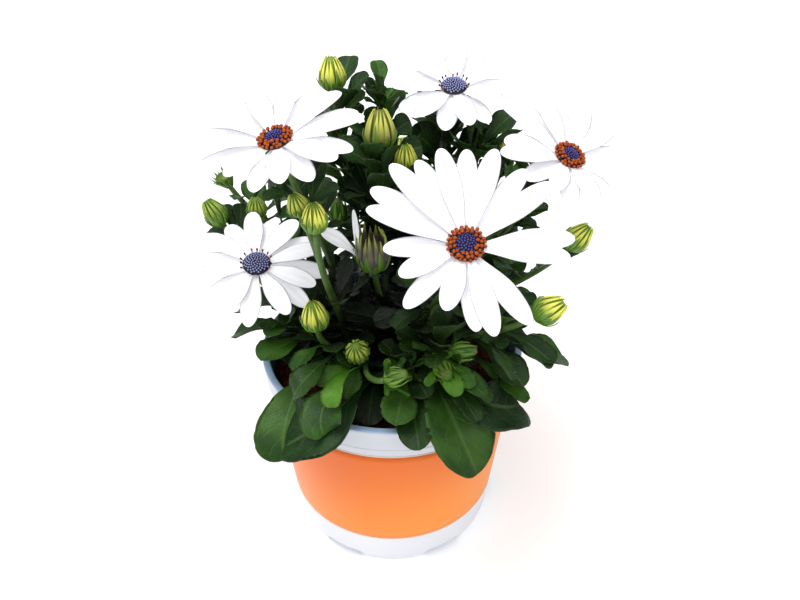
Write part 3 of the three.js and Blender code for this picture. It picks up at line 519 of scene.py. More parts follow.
def grow_uprights(taken, name, line, draw):
    """Upright leaves high on the tall shoots behind, which stand close together."""
    blades = []
    for k in range(TALL[name]):
        share = (k + draw()) / TALL[name]
        base = stem_point(line, lerp(TALL_FILL.low, TALL_FILL.high, share))
        length = draw(20, 32)
        rise = draw(40, 75)
        droop = rise - draw(-5, 35)
        angle = draw(0, 360)
        blades += grow_leaf(
            taken, name, base, angle, rise, droop, length, draw(-25, 25), 0.15 * draw(), FILL.clearance
        )
    return blades


def grow_tuft(tip, facing, draw):
    """Small young leaves round a growing tip or under a leafy bud."""
    pose = Pose(tip, facing)
    first = draw(0, 360)
    blades = []
    for k in range(TUFT.leaves):
        length = draw(*TUFT.lengths)
        rise = draw(25, 65)
        turn = math.radians(first + LEAF_TURN * k)
        blade = arched(
            np.zeros(3), turn, math.radians(rise), math.radians(rise - draw(5, 45)), length,
            0.19 * length, draw(-20, 20), TUFT.youth - 0.2 * draw(), pose,
        )
        blades.append(blade)
    return blades


def skirt_blade(leaf, line):
    _, share, tip, half_width, arch, roll, youth = leaf
    base = stem_point(line, share)
    chord = lerp(base, np.array(tip, float), 0.5)
    middle = np.array(arch, float) if isinstance(arch, list) else chord + UP * arch / 2
    blade = Blade(base, 2 * middle - chord, tip, half_width, roll, youth=youth)
    blade.across = None
    return blade


def is_leafy(head):
    """True for the tip of a shoot without a flower, and for a bud that is still wrapped in leaves."""
    return isinstance(head, list) or (head in BUDS and BUDS[head][4] == 0)


def grow_plant():
    """The petals of each bloom, the first petals, and the stems and leaves of each shoot."""
    taken = Taken()
    petals = {}
    for k, (name, (at, facing, *_)) in enumerate(BLOOMS.items()):
        pose = Pose(at, facing)
        petals[name] = petal_blades(name, 101 + 17 * k)
        for blade in petals[name]:
            taken.take(pose(blade.samples(PETAL_OUTLINE)[0]), LEAF.reach, name)
            for point in pose(bezier(blade.line, LIGHT.petal)[0]):
                taken.keep_lit(point, name)
        taken.take(pose(np.array([0, 0, -CUP.length / 2])), CUP.radius + 1, name)
    for name, (at, facing, length, radius, _) in BUDS.items():
        shares = np.array([0.2, 0.45, 0.75])
        points = Pose(at, facing)(shares[:, None] * length * UP)
        taken.take(points, radius, name)
        taken.keep_lit(points[1], name)
    first = [Blade(base, control, tip, width, roll) for base, control, tip, width, roll in FIRST_PETALS]
    for blade in first:
        taken.take(blade.samples(PETAL_OUTLINE)[0], LEAF.reach, "bud_09")
        for point in bezier(blade.line, LIGHT.petal)[0]:
            taken.keep_lit(point, "bud_09")
    shoots = {}
    for name, (base, head, *_) in SHOOTS.items():
        line = main_line(base, head)
        own = [(share, bud) for shoot, share, bud in SIDE_BUDS if shoot == name]
        sides = [side_line(line, share, bud) for share, bud in own]
        shoots[name] = Sizes(main=line, sides=sides, head=head, side_buds=[bud for _, bud in own])
    for name, shoot in shoots.items():
        for line in [shoot.main, *shoot.sides]:
            taken.take_line(line, name)
    for name, shoot in shoots.items():
        shoot.blades = [skirt_blade(leaf, shoot.main) for leaf in SKIRT if leaf[0] == name]
        for blade in shoot.blades:
            points, root = blade.samples(LEAF_OUTLINE)
            taken.take(points, LEAF.reach, name, root)
    for k, (name, shoot) in enumerate(shoots.items()):
        shoot.blades += grow_leaves(taken, name, shoot.main, Draw(1009 + 31 * k))
    for k, (name, shoot) in enumerate(shoots.items()):
        draw = Draw(5003 + 37 * k)
        shoot.blades += grow_fillers(taken, name, shoot.main, draw)
        if name in TALL:
            shoot.blades += grow_uprights(taken, name, shoot.main, draw)
        shoot.blades += [skirt_blade(leaf, shoot.main) for leaf in COVER if leaf[0] == name]
        for line, head in [*zip(shoot.sides, shoot.side_buds), (shoot.main, shoot.head)]:
            if is_leafy(head):
                shoot.blades += grow_tuft(*bezier(line, 0.98), draw)
    return petals, first, shoots


# ---------------------------------------------------------------- mesh making


class Shape:
    """Faces gathered for one piece, with named values at their vertices that its material reads."""

    def __init__(self, *value_names):
        self.vertices = []
        self.quads = []
        self.triangles = []
        self.values = {name: [] for name in value_names}
        self.count = 0

    def add(self, vertices, quads, triangles, **values):
        self.vertices.append(vertices)
        self.quads.append(quads + self.count)
        self.triangles.append(triangles + self.count)
        for name, gathered in self.values.items():
            gathered.append(np.broadcast_to(values.get(name, 0.0), len(vertices)))
        self.count += len(vertices)

    def make(self, name, material, slot, replaces=()):
        """The piece: a mesh in metres that rides on the frame."""
        mesh = bpy.data.meshes.new(name)
        quads = np.concatenate(self.quads).astype(np.int32)
        triangles = np.concatenate(self.triangles).astype(np.int32)
        corners = np.concatenate([quads.ravel(), triangles.ravel()])
        sizes = np.repeat([4, 3], [len(quads), len(triangles)])
        starts = np.concatenate([[0], np.cumsum(sizes)[:-1]]).astype(np.int32)
        mesh.vertices.add(self.count)
        mesh.loops.add(len(corners))
        mesh.polygons.add(len(sizes))
        places = np.concatenate(self.vertices) * MM
        mesh.vertices.foreach_set("co", places.astype(np.float32).ravel())
        mesh.loops.foreach_set("vertex_index", corners)
        mesh.polygons.foreach_set("loop_start", starts)
        mesh.polygons.foreach_set("use_smooth", np.ones(len(sizes), bool))
        for value, gathered in self.values.items():
            layer = mesh.attributes.new(value, "FLOAT", "POINT")
            layer.data.foreach_set("value", np.concatenate(gathered).astype(np.float32))
        mesh.update(calc_edges=True)
        mesh.validate()
        return add_piece(mesh, name, material, replaces)


def placed(name, data, at=(0, 0, 0), turn=(0, 0, 0)):
    """An object in the scene that holds the data."""
    item = bpy.data.objects.new(name, data)
    item.location = at
    item.rotation_euler = turn
    bpy.context.scene.collection.objects.link(item)
    return item


def add_piece(mesh, name, material, replaces=()):
    piece = placed(name, mesh)
    mesh.materials.append(material)
    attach(piece, "root")
    if replaces:
        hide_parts(*replaces)
    return piece


def closed_tube(rings, start, end):
    """A closed body through rings that run counterclockwise seen from `end`."""
    count, sides = rings.shape[:2]
    j = np.arange(sides)
    after = (j + 1) % sides
    row = (np.arange(count - 1) * sides)[:, None]
    quads = np.stack([row + j, row + after, row + sides + after, row + sides + j], -1).reshape(-1, 4)
    last = (count - 1) * sides
    foot, head = count * sides, count * sides + 1
    root_fan = np.stack([np.full(sides, foot), after, j], -1)
    tip_fan = np.stack([last + j, last + after, np.full(sides, head)], -1)
    vertices = np.concatenate([rings.reshape(-1, 3), [start], [end]])
    return vertices, quads, np.concatenate([root_fan, tip_fan])


def with_ends(grid, start, end):
    """The values of a tube's rings, then those of its two end points."""
    return np.concatenate([np.asarray(grid, float).ravel(), [start], [end]])


def turned(profile, segments):
    """The rings of a lathe round Z through [radius, z] points."""
    angle = np.linspace(0, 2 * math.pi, segments, endpoint=False)
    radius, z = np.array(profile, float).T
    x = radius[:, None] * np.cos(angle)
    y = radius[:, None] * np.sin(angle)
    return np.stack([x, y, np.broadcast_to(z[:, None], x.shape)], -1)


def filleted(corners, steps=4):
    """A profile with each [radius, z, fillet] corner rounded by a short arc."""
    points = []
    for k, (radius, z, fillet) in enumerate(corners):
        here = np.array([radius, z], float)
        if fillet == 0:
            points.append(here)
            continue
        before = here + unit(np.array(corners[k - 1][:2]) - here) * fillet
        after = here + unit(np.array(corners[k + 1][:2]) - here) * fillet
        points += list(bezier([before, here, after], np.linspace(0, 1, steps + 1))[0])
    return points


def blade_grid(rows, columns, crowd):
    """Where a closed blade's vertices lie along it and across it, and whether on its back.

    The rows stand closer towards the tip. The values are the same places, for the material."""
    s = 1 - (1 - np.linspace(0, 1, rows, endpoint=False)) ** crowd
    top = np.linspace(-1, 1, columns + 1)
    round_it = np.concatenate([top, top[-2:0:-1]])
    back = np.concatenate([np.zeros(columns + 1), np.ones(columns - 1)])
    along, side = np.meshgrid(s, round_it, indexing="ij")
    under = np.broadcast_to(back, side.shape)
    values = {
        "along": with_ends(along, 0, 1),
        "across": with_ends(side, 0, 0),
        "under": with_ends(under, 0, 0),
    }
    return along, side, under, values


def blade_body(blade, width, relief, thickness, rows, columns, crowd):
    """A closed blade: `width` gives its outline, `relief` its lift and `thickness` its body."""
    along, side, under, values = blade_grid(rows, columns, crowd)
    centre, across, normal = (rows_of[:, None] for rows_of in blade.frame(along[:, 0]))
    half = width(along, side) * blade.half_width
    body = thickness(along, side, half) * (0.5 - under)
    lift = relief(along, side, half) + body * (1 - side**2)
    points = centre + (side * half)[..., None] * across + lift[..., None] * normal
    points = points if blade.pose is None else blade.pose(points)
    root, tip = points[0].mean(0), points[-1].mean(0)
    tip = tip + unit(tip - points[-2].mean(0)) * blade.half_width * 0.02
    return closed_tube(points, root, tip), values


# ---------------------------------------------------------------- pot, band and peat


def pot_radius(z):
    share = (z - POT.foot_height) / (POT.collar_bottom - POT.foot_height)
    return lerp(POT.foot_radius + POT.foot_flare, POT.body_top, share)


def make_pot(material):
    """The moulded pot: feet and pad, tapering body, band recess, collar with its lines, rolled rim."""
    recess = BAND.thickness + SEAT
    foot_inner = POT.foot_radius - POT.foot_width
    lip_inner = POT.rim_radius - POT.rim_width
    floor_top = POT.foot_height + POT.wall
    low, high = BAND.bottom - SEAT, BAND.top + SEAT
    line = 0.25
    corners = [
        [POT.pad_radius, 0, 0.5],
        [POT.pad_radius + POT.slope, POT.foot_height, 0.6],
        [foot_inner, POT.foot_height, 0.6],
        [foot_inner + POT.slope, 0, 0.5],
        [POT.foot_radius - 0.4, 0, 0.9],
        [pot_radius(POT.foot_height), POT.foot_height, 0.6],
        [pot_radius(POT.foot_height + 1.2), POT.foot_height + 1.2, 0.3],
        [pot_radius(7), 7, 0],
        [pot_radius(low), low, 0.2],
        [pot_radius(low) - recess, low + 0.05, 0.2],
        [pot_radius(high) - recess, high - 0.05, 0.2],
        [pot_radius(high), high, 0.2],
        [POT.body_top, POT.collar_bottom, 0.4],
        [POT.collar_radius, POT.collar_bottom + 0.8, 0.3],
        [POT.collar_radius + 0.2, POT.collar_bottom + 2.2, 0.15],
        [POT.collar_radius + 0.2 - line, POT.collar_bottom + 2.4, 0.1],
        [POT.collar_radius + 0.2, POT.collar_bottom + 2.6, 0.15],
        [POT.rim_radius - 0.3, POT.height - POT.rim_lip - 1.6, 0.4],
        [POT.rim_radius, POT.height - POT.rim_lip, 0.4],
        [POT.rim_radius, POT.height, 1.1],
        [lip_inner, POT.height, 1.1],
        [pot_radius(POT.collar_bottom) - POT.wall, POT.collar_bottom, 0.6],
        [pot_radius(floor_top) - POT.wall, floor_top, 1.5],
        [0.01, floor_top, 0],
    ]
    profile = [[1, 0], *filleted([[2, 0, 0], *corners])]
    rings = turned(profile, POT.segments)
    angle = np.arctan2(rings[0, :, 1], rings[0, :, 0])
    sector = 2 * math.pi / POT.feet
    off_notch = np.abs((angle + math.pi / 2) % sector - sector / 2)
    half_notch = POT.notch_width / 2 / POT.foot_radius
    raised = smooth_step((half_notch + 0.05 - off_notch) / 0.1)
    foot = (rings[..., 2] < POT.foot_height) & (np.hypot(rings[..., 0], rings[..., 1]) > foot_inner - 1)
    lifted = lerp(rings[..., 2], POT.foot_height, raised[None])
    rings[..., 2] = np.where(foot, lifted, rings[..., 2])
    shape = Shape()
    shape.add(*closed_tube(rings, [0, 0, 0], [0, 0, floor_top]))
    piece = shape.make("pot_shell", material, "pot_plastic", ["pot"])
    cut_drains(piece)
    return piece


def cut_drains(piece):
    """Six round holes through the raised base."""
    drill = Shape()
    for k in range(POT.feet):
        turn = math.radians(360 / POT.feet * (k + 0.5) - 90)
        middle = DRAIN.ring_radius * np.array([math.cos(turn), math.sin(turn), 0])
        rings = turned([[DRAIN.radius, DRAIN.low], [DRAIN.radius, DRAIN.high]], DRAIN.sides) + middle
        drill.add(*closed_tube(rings, middle + UP * DRAIN.low, middle + UP * DRAIN.high))
    tool = drill.make("drain_drill", piece.data.materials[0], "pot_plastic")
    cutter = piece.modifiers.new("drains", "BOOLEAN")
    cutter.operation = "DIFFERENCE"
    cutter.object = tool
    cutter.solver = "EXACT"
    settle(piece)
    bpy.data.objects.remove(tool)


def settle(piece):
    """Applies the modifiers of a piece to its mesh."""
    bpy.context.view_layer.update()
    evaluated = piece.evaluated_get(bpy.context.evaluated_depsgraph_get())
    mesh = bpy.data.meshes.new_from_object(evaluated)
    piece.modifiers.clear()
    piece.data = mesh


def make_band(material):
    """The printed sleeve: one thin strip round the body, its end lapped over its start at the back."""
    turn = np.linspace(0, 2 * math.pi + math.radians(BAND.overlap), BAND.segments + 1)
    lap = smooth_step((turn - 2 * math.pi + 0.03) / 0.06) * (BAND.thickness * 0.8)
    z = np.linspace(BAND.bottom, BAND.top, 14)
    inner = pot_radius(z) - BAND.thickness
    section_z = np.concatenate([z, [BAND.top], z[::-1], [BAND.bottom]])
    outward = np.concatenate([inner, [inner[-1] + 0.25], pot_radius(z)[::-1], [inner[0] + 0.25]])
    reach = outward[None] + lap[:, None]
    angle = math.pi / 2 + turn
    x = reach * np.cos(angle)[:, None]
    y = reach * np.sin(angle)[:, None]
    rings = np.stack([x, y, np.broadcast_to(section_z, x.shape)], -1)
    shape = Shape()
    shape.add(*closed_tube(rings, rings[0].mean(0), rings[-1].mean(0)))
    return shape.make("band_sleeve", material, "band_print", ["pot_band"])


def peat_height(x, y):
    """How far the loose top of the peat stands above its mean at a place."""
    spot = Vector((x, y, 0.0))
    heaps = noise.fractal(spot * 0.06, 1.0, 2.0, 3)
    lumps = noise.fractal(spot * 0.35 + Vector((9, 4, 2)), 0.8, 2.1, 4)
    return 1.3 * heaps + 0.9 * lumps


def peat_level(radius):
    """The height of the peat at a distance from the pot's axis."""
    return lerp(SOIL.crown, SOIL.edge, smooth_step(radius / 60) * 0.9)


def make_peat(material):
    """The plug of peat that fills the pot, with a crumbly top."""
    floor = POT.foot_height + POT.wall + SEAT
    wall = [[(pot_radius(z) - POT.wall) * SOIL.fit, z] for z in (floor, 50, 90)]
    edge = (pot_radius(SOIL.edge) - POT.wall) * SOIL.fit
    top = [[edge * (1 - k / SOIL.rings), SOIL.edge] for k in range(SOIL.rings)]
    rings = turned([*wall, *top], SOIL.segments)
    surface = rings[len(wall):].reshape(-1, 3)
    for point in surface:
        fade = min(1.0, (edge - math.hypot(point[0], point[1])) / 3)
        point[2] = peat_level(math.hypot(point[0], point[1])) + fade * peat_height(point[0], point[1])
    rings[len(wall):] = surface.reshape(SOIL.rings, -1, 3)
    shape = Shape()
    shape.add(*closed_tube(rings, [0, 0, floor], [0, 0, peat_level(0)]))
    return shape.make("peat_plug", material, "peat", ["peat"])


GOLDEN = 1.618034
SIGNS = [(s, t) for s in (-1, 1) for t in (-1, 1)]
ICOSAHEDRON = unit(
    [[s, t * GOLDEN, 0] for s, t in SIGNS]
    + [[0, s, t * GOLDEN] for s, t in SIGNS]
    + [[s * GOLDEN, 0, t] for s, t in SIGNS]
)


def hull_faces(corners):
    """The outward triangles of an icosahedron's corners."""
    edge = min(np.linalg.norm(corners[0] - corner) for corner in corners[1:]) * 1.01
    found = []
    for a in range(12):
        for b in range(a + 1, 12):
            for c in range(b + 1, 12):
                sides = [corners[b] - corners[a], corners[c] - corners[b], corners[a] - corners[c]]
                if max(np.linalg.norm(side) for side in sides) < edge:
                    outward = np.dot(np.cross(sides[0], sides[1]), corners[a]) > 0
                    found.append([a, b, c] if outward else [a, c, b])
    return np.array(found)


NO_QUADS = np.zeros((0, 4), int)
CRUMBS = Sizes(count=1500, sizes=(0.5, 1.7), spread=58)
FIBRES = Sizes(count=260, lengths=(3, 11), radius=0.17, spread=56, reach=58)


def make_crumbs(material):
    """Loose crumbs of peat scattered over its top."""
    draw = Draw(77)
    faces = hull_faces(ICOSAHEDRON)
    shape = Shape("tint")
    for _ in range(CRUMBS.count):
        radius, angle = CRUMBS.spread * math.sqrt(draw(0.001, 1)), draw(0, 2 * math.pi)
        x, y = radius * math.cos(angle), radius * math.sin(angle)
        size = lerp(*CRUMBS.sizes, draw() ** 2)
        z = peat_level(radius) + peat_height(x, y) * min(1, (59 - radius) / 3) + 0.2 * size
        knobs = 1 + 0.35 * (np.array([draw() for _ in range(12)]) - 0.5)[:, None]
        stretch = np.array([draw(0.7, 1.2), draw(0.7, 1.2), draw(0.5, 0.9)])
        corners = ICOSAHEDRON * knobs * size * stretch
        shape.add(corners + [x, y, z], NO_QUADS, faces, tint=draw())
    return shape.make("peat_crumbs", material, "peat")


def make_fibres(material):
    """Fine fibres that lie criss-cross on the peat."""
    draw = Draw(78)
    shape = Shape("tint")
    s = np.linspace(0, 1, 7)
    for _ in range(FIBRES.count):
        radius = FIBRES.spread * math.sqrt(draw(0.001, 1))
        angle, way = draw(0, 2 * math.pi), draw(0, 2 * math.pi)
        length = draw(*FIBRES.lengths)
        middle = np.array([radius * math.cos(angle), radius * math.sin(angle), 0])
        reach = np.array([math.cos(way), math.sin(way), 0]) * length / 2
        bow = np.array([-math.sin(way), math.cos(way), 0]) * draw(-3, 3)
        line = [middle - reach, middle + bow, middle + reach]
        centre, tangent = bezier(line, s)
        distance = np.hypot(centre[:, 0], centre[:, 1])
        if distance.max() > FIBRES.reach:
            continue
        ground = [peat_level(r) + peat_height(x, y) for r, (x, y, _) in zip(distance, centre)]
        centre[:, 2] = np.array(ground) + 0.9 + 1.4 * draw() * np.sin(math.pi * s)
        shape.add(*round_tube(centre, tangent, np.full(7, FIBRES.radius), 4), tint=draw())
    return shape.make("peat_fibres", material, "peat")


# ---------------------------------------------------------------- stems, leaves


def round_tube(centre, tangent, radius, sides, ribs=0, ridge=0.0):
    """A closed tube of rings about the points of a line."""
    helper = np.where(np.abs(tangent[:, :1]) > 0.9, [0.0, 1.0, 0.0], [1.0, 0.0, 0.0])
    across = unit(np.cross(tangent, helper))
    other = np.cross(across, tangent)
    angle = np.linspace(0, 2 * math.pi, sides, endpoint=False)
    reach = radius[:, None] * (1 + ridge * np.cos(ribs * angle))[None]
    out = np.cos(angle)[None, :, None] * other[:, None] + np.sin(angle)[None, :, None] * across[:, None]
    rings = centre[:, None] + reach[..., None] * out
    return closed_tube(rings, centre[0], centre[-1])


RIBBED = Sizes(sides=15, ribs=5, ridge=0.06)


def make_stems(name, shoot, material):
    """The ribbed stem of a shoot and the stalks of its side buds."""
    shape = Shape("along")

    def add_stalk(centre, tangent, radius, place):
        along = with_ends(np.repeat(place, RIBBED.sides), place[0], place[-1])
        tube = round_tube(centre, tangent, radius, RIBBED.sides, RIBBED.ribs, RIBBED.ridge)
        shape.add(*tube, along=along)

    s = np.linspace(0, 1, 41)
    centre, tangent = bezier(shoot.main, s)
    centre = np.vstack([centre[0] - UP * STEM.buried, centre])
    radius = lerp(STEM.base_radius, STEM.tip_radius, s)
    add_stalk(centre, np.vstack([UP, tangent]), np.append(STEM.base_radius, radius), np.append(0, s))
    for line in shoot.sides:
        s = np.linspace(0, 1, 21)
        add_stalk(*bezier(line, s), np.full(21, STEM.tip_radius), 0.5 + s / 2)
    return shape.make(f"stem_{name[-2:]}", material, "foliage")


def round_end(along, start, power):
    """How a blade narrows from `start` to its rounded tip."""
    return np.sqrt(np.clip(1 - (np.clip(along - start, 0, 1) / (1 - start)) ** power, 0, 1))


def leaf_width(along, side):
    """A narrow stalk, a blade that is widest near its end, and shallow teeth that point forwards."""
    stalk = 0.15 + 0.04 * np.cos(along * 9)
    blade = stalk + (1 - stalk) * smooth_step((along - 0.2) / 0.56)
    phase = along * 10 + 0.3 * np.sign(side)
    tooth = (phase - np.floor(phase)) ** 2 * smooth_step((along - 0.4) / 0.2)
    return blade * round_end(along, 0.7, 3) * (1 + LEAF.teeth * (0.4 - tooth))


def leaf_relief(draw):
    """Margins that are lifted and waved, a furrow along the midrib, and veins that stand sunk."""
    phase, waves, wave = draw(0, 6.3), draw(1.6, 2.6), draw(0.06, 0.16)
    twist = draw(-0.12, 0.12)

    def relief(along, side, half):
        cup = LEAF.cup * half * np.abs(side) ** 1.7
        ripple = wave * half * side**2 * np.sin(2 * math.pi * waves * along + phase + 1.5 * side)
        furrow = -0.35 * np.exp(-((side * half / 0.9) ** 2)) * smooth_step(along * 4)
        veins = 0.12 * np.cos(2 * math.pi * (7 * along - 1.6 * np.abs(side))) * smooth_step(half / 5)
        return cup + ripple + furrow + veins * np.abs(side) + twist * side * half * along

    return relief


def leaf_thickness(along, side, half):
    midrib = 0.7 * np.exp(-((side * half / 0.8) ** 2)) * (1 - 0.6 * along)
    return 0.4 + midrib


BUSH = Sizes(inner=22.5, outer=72.5, shade=155, top=195)


def bush_shade_depth(blade):
    """How deep inside the bush a leaf hangs, where its colour is painted near black as shade."""
    middle = bezier(blade.line, 0.6)[0]
    middle = middle if blade.pose is None else blade.pose(middle)
    from_side = (BUSH.outer - np.hypot(middle[0], middle[1])) / (BUSH.outer - BUSH.inner)
    from_top = (BUSH.top - middle[2]) / (BUSH.top - BUSH.shade)
    return np.clip(from_side, 0, 1) * np.clip(from_top, 0, 1)


def make_leaves(name, shoot, material, draw):
    shape = Shape("along", "across", "under", "youth", "deep", "tint")
    for blade in shoot.blades:
        width = blade.half_width
        rows, columns = (30, 12) if width > LEAF.broad else (16, 8) if width > LEAF.small else (12, 8)
        body, values = blade_body(blade, leaf_width, leaf_relief(draw), leaf_thickness, rows, columns, 1.6)
        shape.add(*body, youth=blade.youth, deep=bush_shade_depth(blade), tint=draw(), **values)
    return shape.make(f"leaves_{name[-2:]}", material, "foliage", [name])


# ---------------------------------------------------------------- blooms


def petal_width(along, side):
    narrow = 0.3 + 0.7 * smooth_step(along / 0.58)
    return narrow * round_end(along, 0.55, 2.5)


def petal_relief(draw):
    """Two long furrows, lifted margins and a little twist."""
    twist, bend, fold = draw(-0.16, 0.16), draw(-0.05, 0.05), draw(0.07, 0.16)

    def relief(along, side, half):
        cup = fold * half * side**2
        furrows = 0.16 * np.cos(side * math.pi * 2.5) * smooth_step(along * 3) * (1 - along**6)
        return cup + furrows + half * side * (twist * along + bend)

    return relief


def petal_thickness(along, side, half):
    return 0.34 - 0.1 * along


def petal_shape(blades, draw):
    shape = Shape("along", "across", "under", "tint")
    for blade in blades:
        body, values = blade_body(blade, petal_width, petal_relief(draw), petal_thickness, 30, 12, 1.7)
        shape.add(*body, tint=draw(), **values)
    return shape


def make_petals(name, blades, material):
    return petal_shape(blades, Draw(311 + int(name[-1]))).make(
        f"petals_{name[-1]}", material, "petal", [f"{name}_rays"]
    )


FLORET = [[0.5, 0], [0.8, 0.4], [0.95, 0.75], [0.72, 1], [0.3, 1.1]]
ANTHER = [[0.42, 0], [0.36, 0.35], [0.45, 0.55], [0.95, 0.68], [1, 0.84], [0.66, 1]]


def disc_body(angle, radius, height, lean, profile, size, length, sides, pose):
    """A small turned body on the disc, leaning outwards."""
    rings = turned([[r * size, z * length] for r, z in profile], sides)
    foot = np.array([radius * math.cos(angle), radius * math.sin(angle), height])
    way = np.array([math.cos(angle) * math.sin(lean), math.sin(angle) * math.sin(lean), math.cos(lean)])
    stand = Pose(foot, way)
    tip = profile[-1][1] * length
    return closed_tube(pose(stand(rings)), pose(stand(np.zeros(3))), pose(stand(UP * tip)))


# florets: how many are closed and how far they reach; then rows of open ones:
# radius, number, height of the foot, lean, size of the anther and its length
OPEN_DISC = Sizes(
    florets=54, reach=3.8, dome=1.5,
    rows=[(4.3, 15, 1.2, 0.02, 0.7, 2.2), (5.3, 19, 0.8, 0.16, 0.74, 2.2), (6.1, 22, 0.3, 0.4, 0.7, 2.1)],
)
YOUNG_DISC = Sizes(
    florets=84, reach=5.5, dome=1.7,
    rows=[(5.9, 15, 0.3, 0.6, 0.46, 3.1)],
)


def make_disc(name, materials):
    """The cushion of closed florets inside a crown of open ones with their orange anthers."""
    at, facing, *_, open_share = BLOOMS[name]
    form = OPEN_DISC if open_share > 0.3 else YOUNG_DISC
    pose = Pose(at, facing)
    draw = Draw(911 + int(name[-1]))
    cushion = Shape("tall", "tint", "young")
    crown = Shape("tall", "tint", "shut")
    young = float(form is YOUNG_DISC)
    bed = [[0.4, 0], [0.85, 0.2], [1, 0.7], [0.9, 1.2], [0.6, 1.5], [0.3, 1.6]]
    rings = pose(turned([[r * 6.6, DISC_BOTTOM + z] for r, z in bed], 40))
    body = closed_tube(rings, pose(UP * DISC_BOTTOM), pose(UP * (DISC_BOTTOM + 1.6)))
    cushion.add(*body, tall=0, tint=0, young=young)
    spacing = form.reach / math.sqrt(form.florets)
    for k in range(form.florets):
        radius = form.reach * math.sqrt((k + 0.5) / form.florets)
        share = radius / form.reach
        height = DISC_BOTTOM + 0.9 + form.dome * (1 - share**2)
        size = spacing * (0.78 + 0.12 * share)
        angle = math.radians(FLORET_TURN) * k
        body = disc_body(angle, radius, height, 0.5 * share, FLORET, size, 1.2, 7, pose)
        tall = with_ends(np.repeat([z for _, z in FLORET], 7), 0, 1.15)
        cushion.add(*body, tall=tall, tint=draw(), young=young)
    for radius, number, foot, lean, size, length in form.rows:
        for k in range(number):
            angle = 2 * math.pi * (k + draw(-0.22, 0.22) + radius) / number
            body = disc_body(
                angle, radius, DISC_BOTTOM + foot, lean + draw(-0.12, 0.12), ANTHER,
                size * draw(0.85, 1.1), length * draw(0.85, 1.15), 9, pose,
            )
            tall = with_ends(np.repeat([z for _, z in ANTHER], 9), 0, 1)
            shut = float(form is YOUNG_DISC and draw() > 0.3)
            crown.add(*body, tall=tall, tint=draw(), shut=shut)
    cushion.make(f"florets_{name[-1]}", materials.floret, "disc", [f"{name}_disc"])
    crown.make(f"anthers_{name[-1]}", materials.anther, "disc")


def wrapped_body(pose, turn, span, reach, out_radius, taper, grid, ridge, thickness, flare=0.0):
    """A blade that hugs a body of revolution, whose radius is `out_radius(z)` in its own frame.

    It runs over `reach` in z, spans the angle `span` to each side and has `grid` rows and columns."""
    along, side, under, values = blade_grid(*grid, 1.4)
    z = lerp(*reach, along)
    end = reach[1]
    angle = turn + side * span * taper(along)
    lift = ridge * (1 - side**2) + flare * along**4 - thickness * under * (1 - side**4)
    radius = out_radius(z) + lift
    points = np.stack([radius * np.cos(angle), radius * np.sin(angle), z], -1)
    tip_radius = out_radius(np.array(end)) + flare
    tip = np.array([tip_radius * math.cos(turn), tip_radius * math.sin(turn), end + 0.3])
    points = pose(points)
    return closed_tube(points, points[0].mean(0), pose(tip)), values


def taper(power, least, fullness=1.0):
    """The width of a wrapped blade from its root to its point."""
    return lambda along: np.clip(1 - along**power, least, 1) ** fullness


RAY_TAPER = taper(3.2, 0.05, 0.8)
TIP_TAPER = taper(2.6, 0.04)
BRACT_TAPER = taper(1.8, 0.03)


def make_cup(name, material):
    """The green cup under a bloom: two rows of narrow pointed bracts round a smooth receptacle."""
    at, facing = BLOOMS[name][:2]
    pose = Pose(at, facing)
    draw = Draw(411 + int(name[-1]))
    outline = [[-CUP.length - 0.3, 1.5], [-6.2, 3.6], [-4, 5.2], [-2, 5.7], [-0.4, 5.5]]

    def radius(z):
        return spline(outline, z)

    shape = Shape("along", "across", "under", "tint")
    z = np.linspace(outline[0][0], outline[-1][0], 12)
    rings = pose(turned(np.stack([radius(z) - 0.3, z], -1), 28))
    shape.add(*closed_tube(rings, pose(UP * z[0]), pose(UP * z[-1])), tint=0.5)
    for k in range(18):
        row = k % 2
        turn = 2 * math.pi * (k + draw(-0.2, 0.2)) / 18
        end = draw(0.2, 1.6) - 1.2 * row
        body, values = wrapped_body(
            pose, turn, 0.24, (-CUP.length + 1.2, end),
            lambda z: radius(np.minimum(z, -0.4)) + 0.25 * row, BRACT_TAPER, (9, 6), 0.3, 0.3,
        )
        shape.add(*body, tint=draw(), **values)
    return shape.make(f"cup_{name[-1]}", material, "foliage")


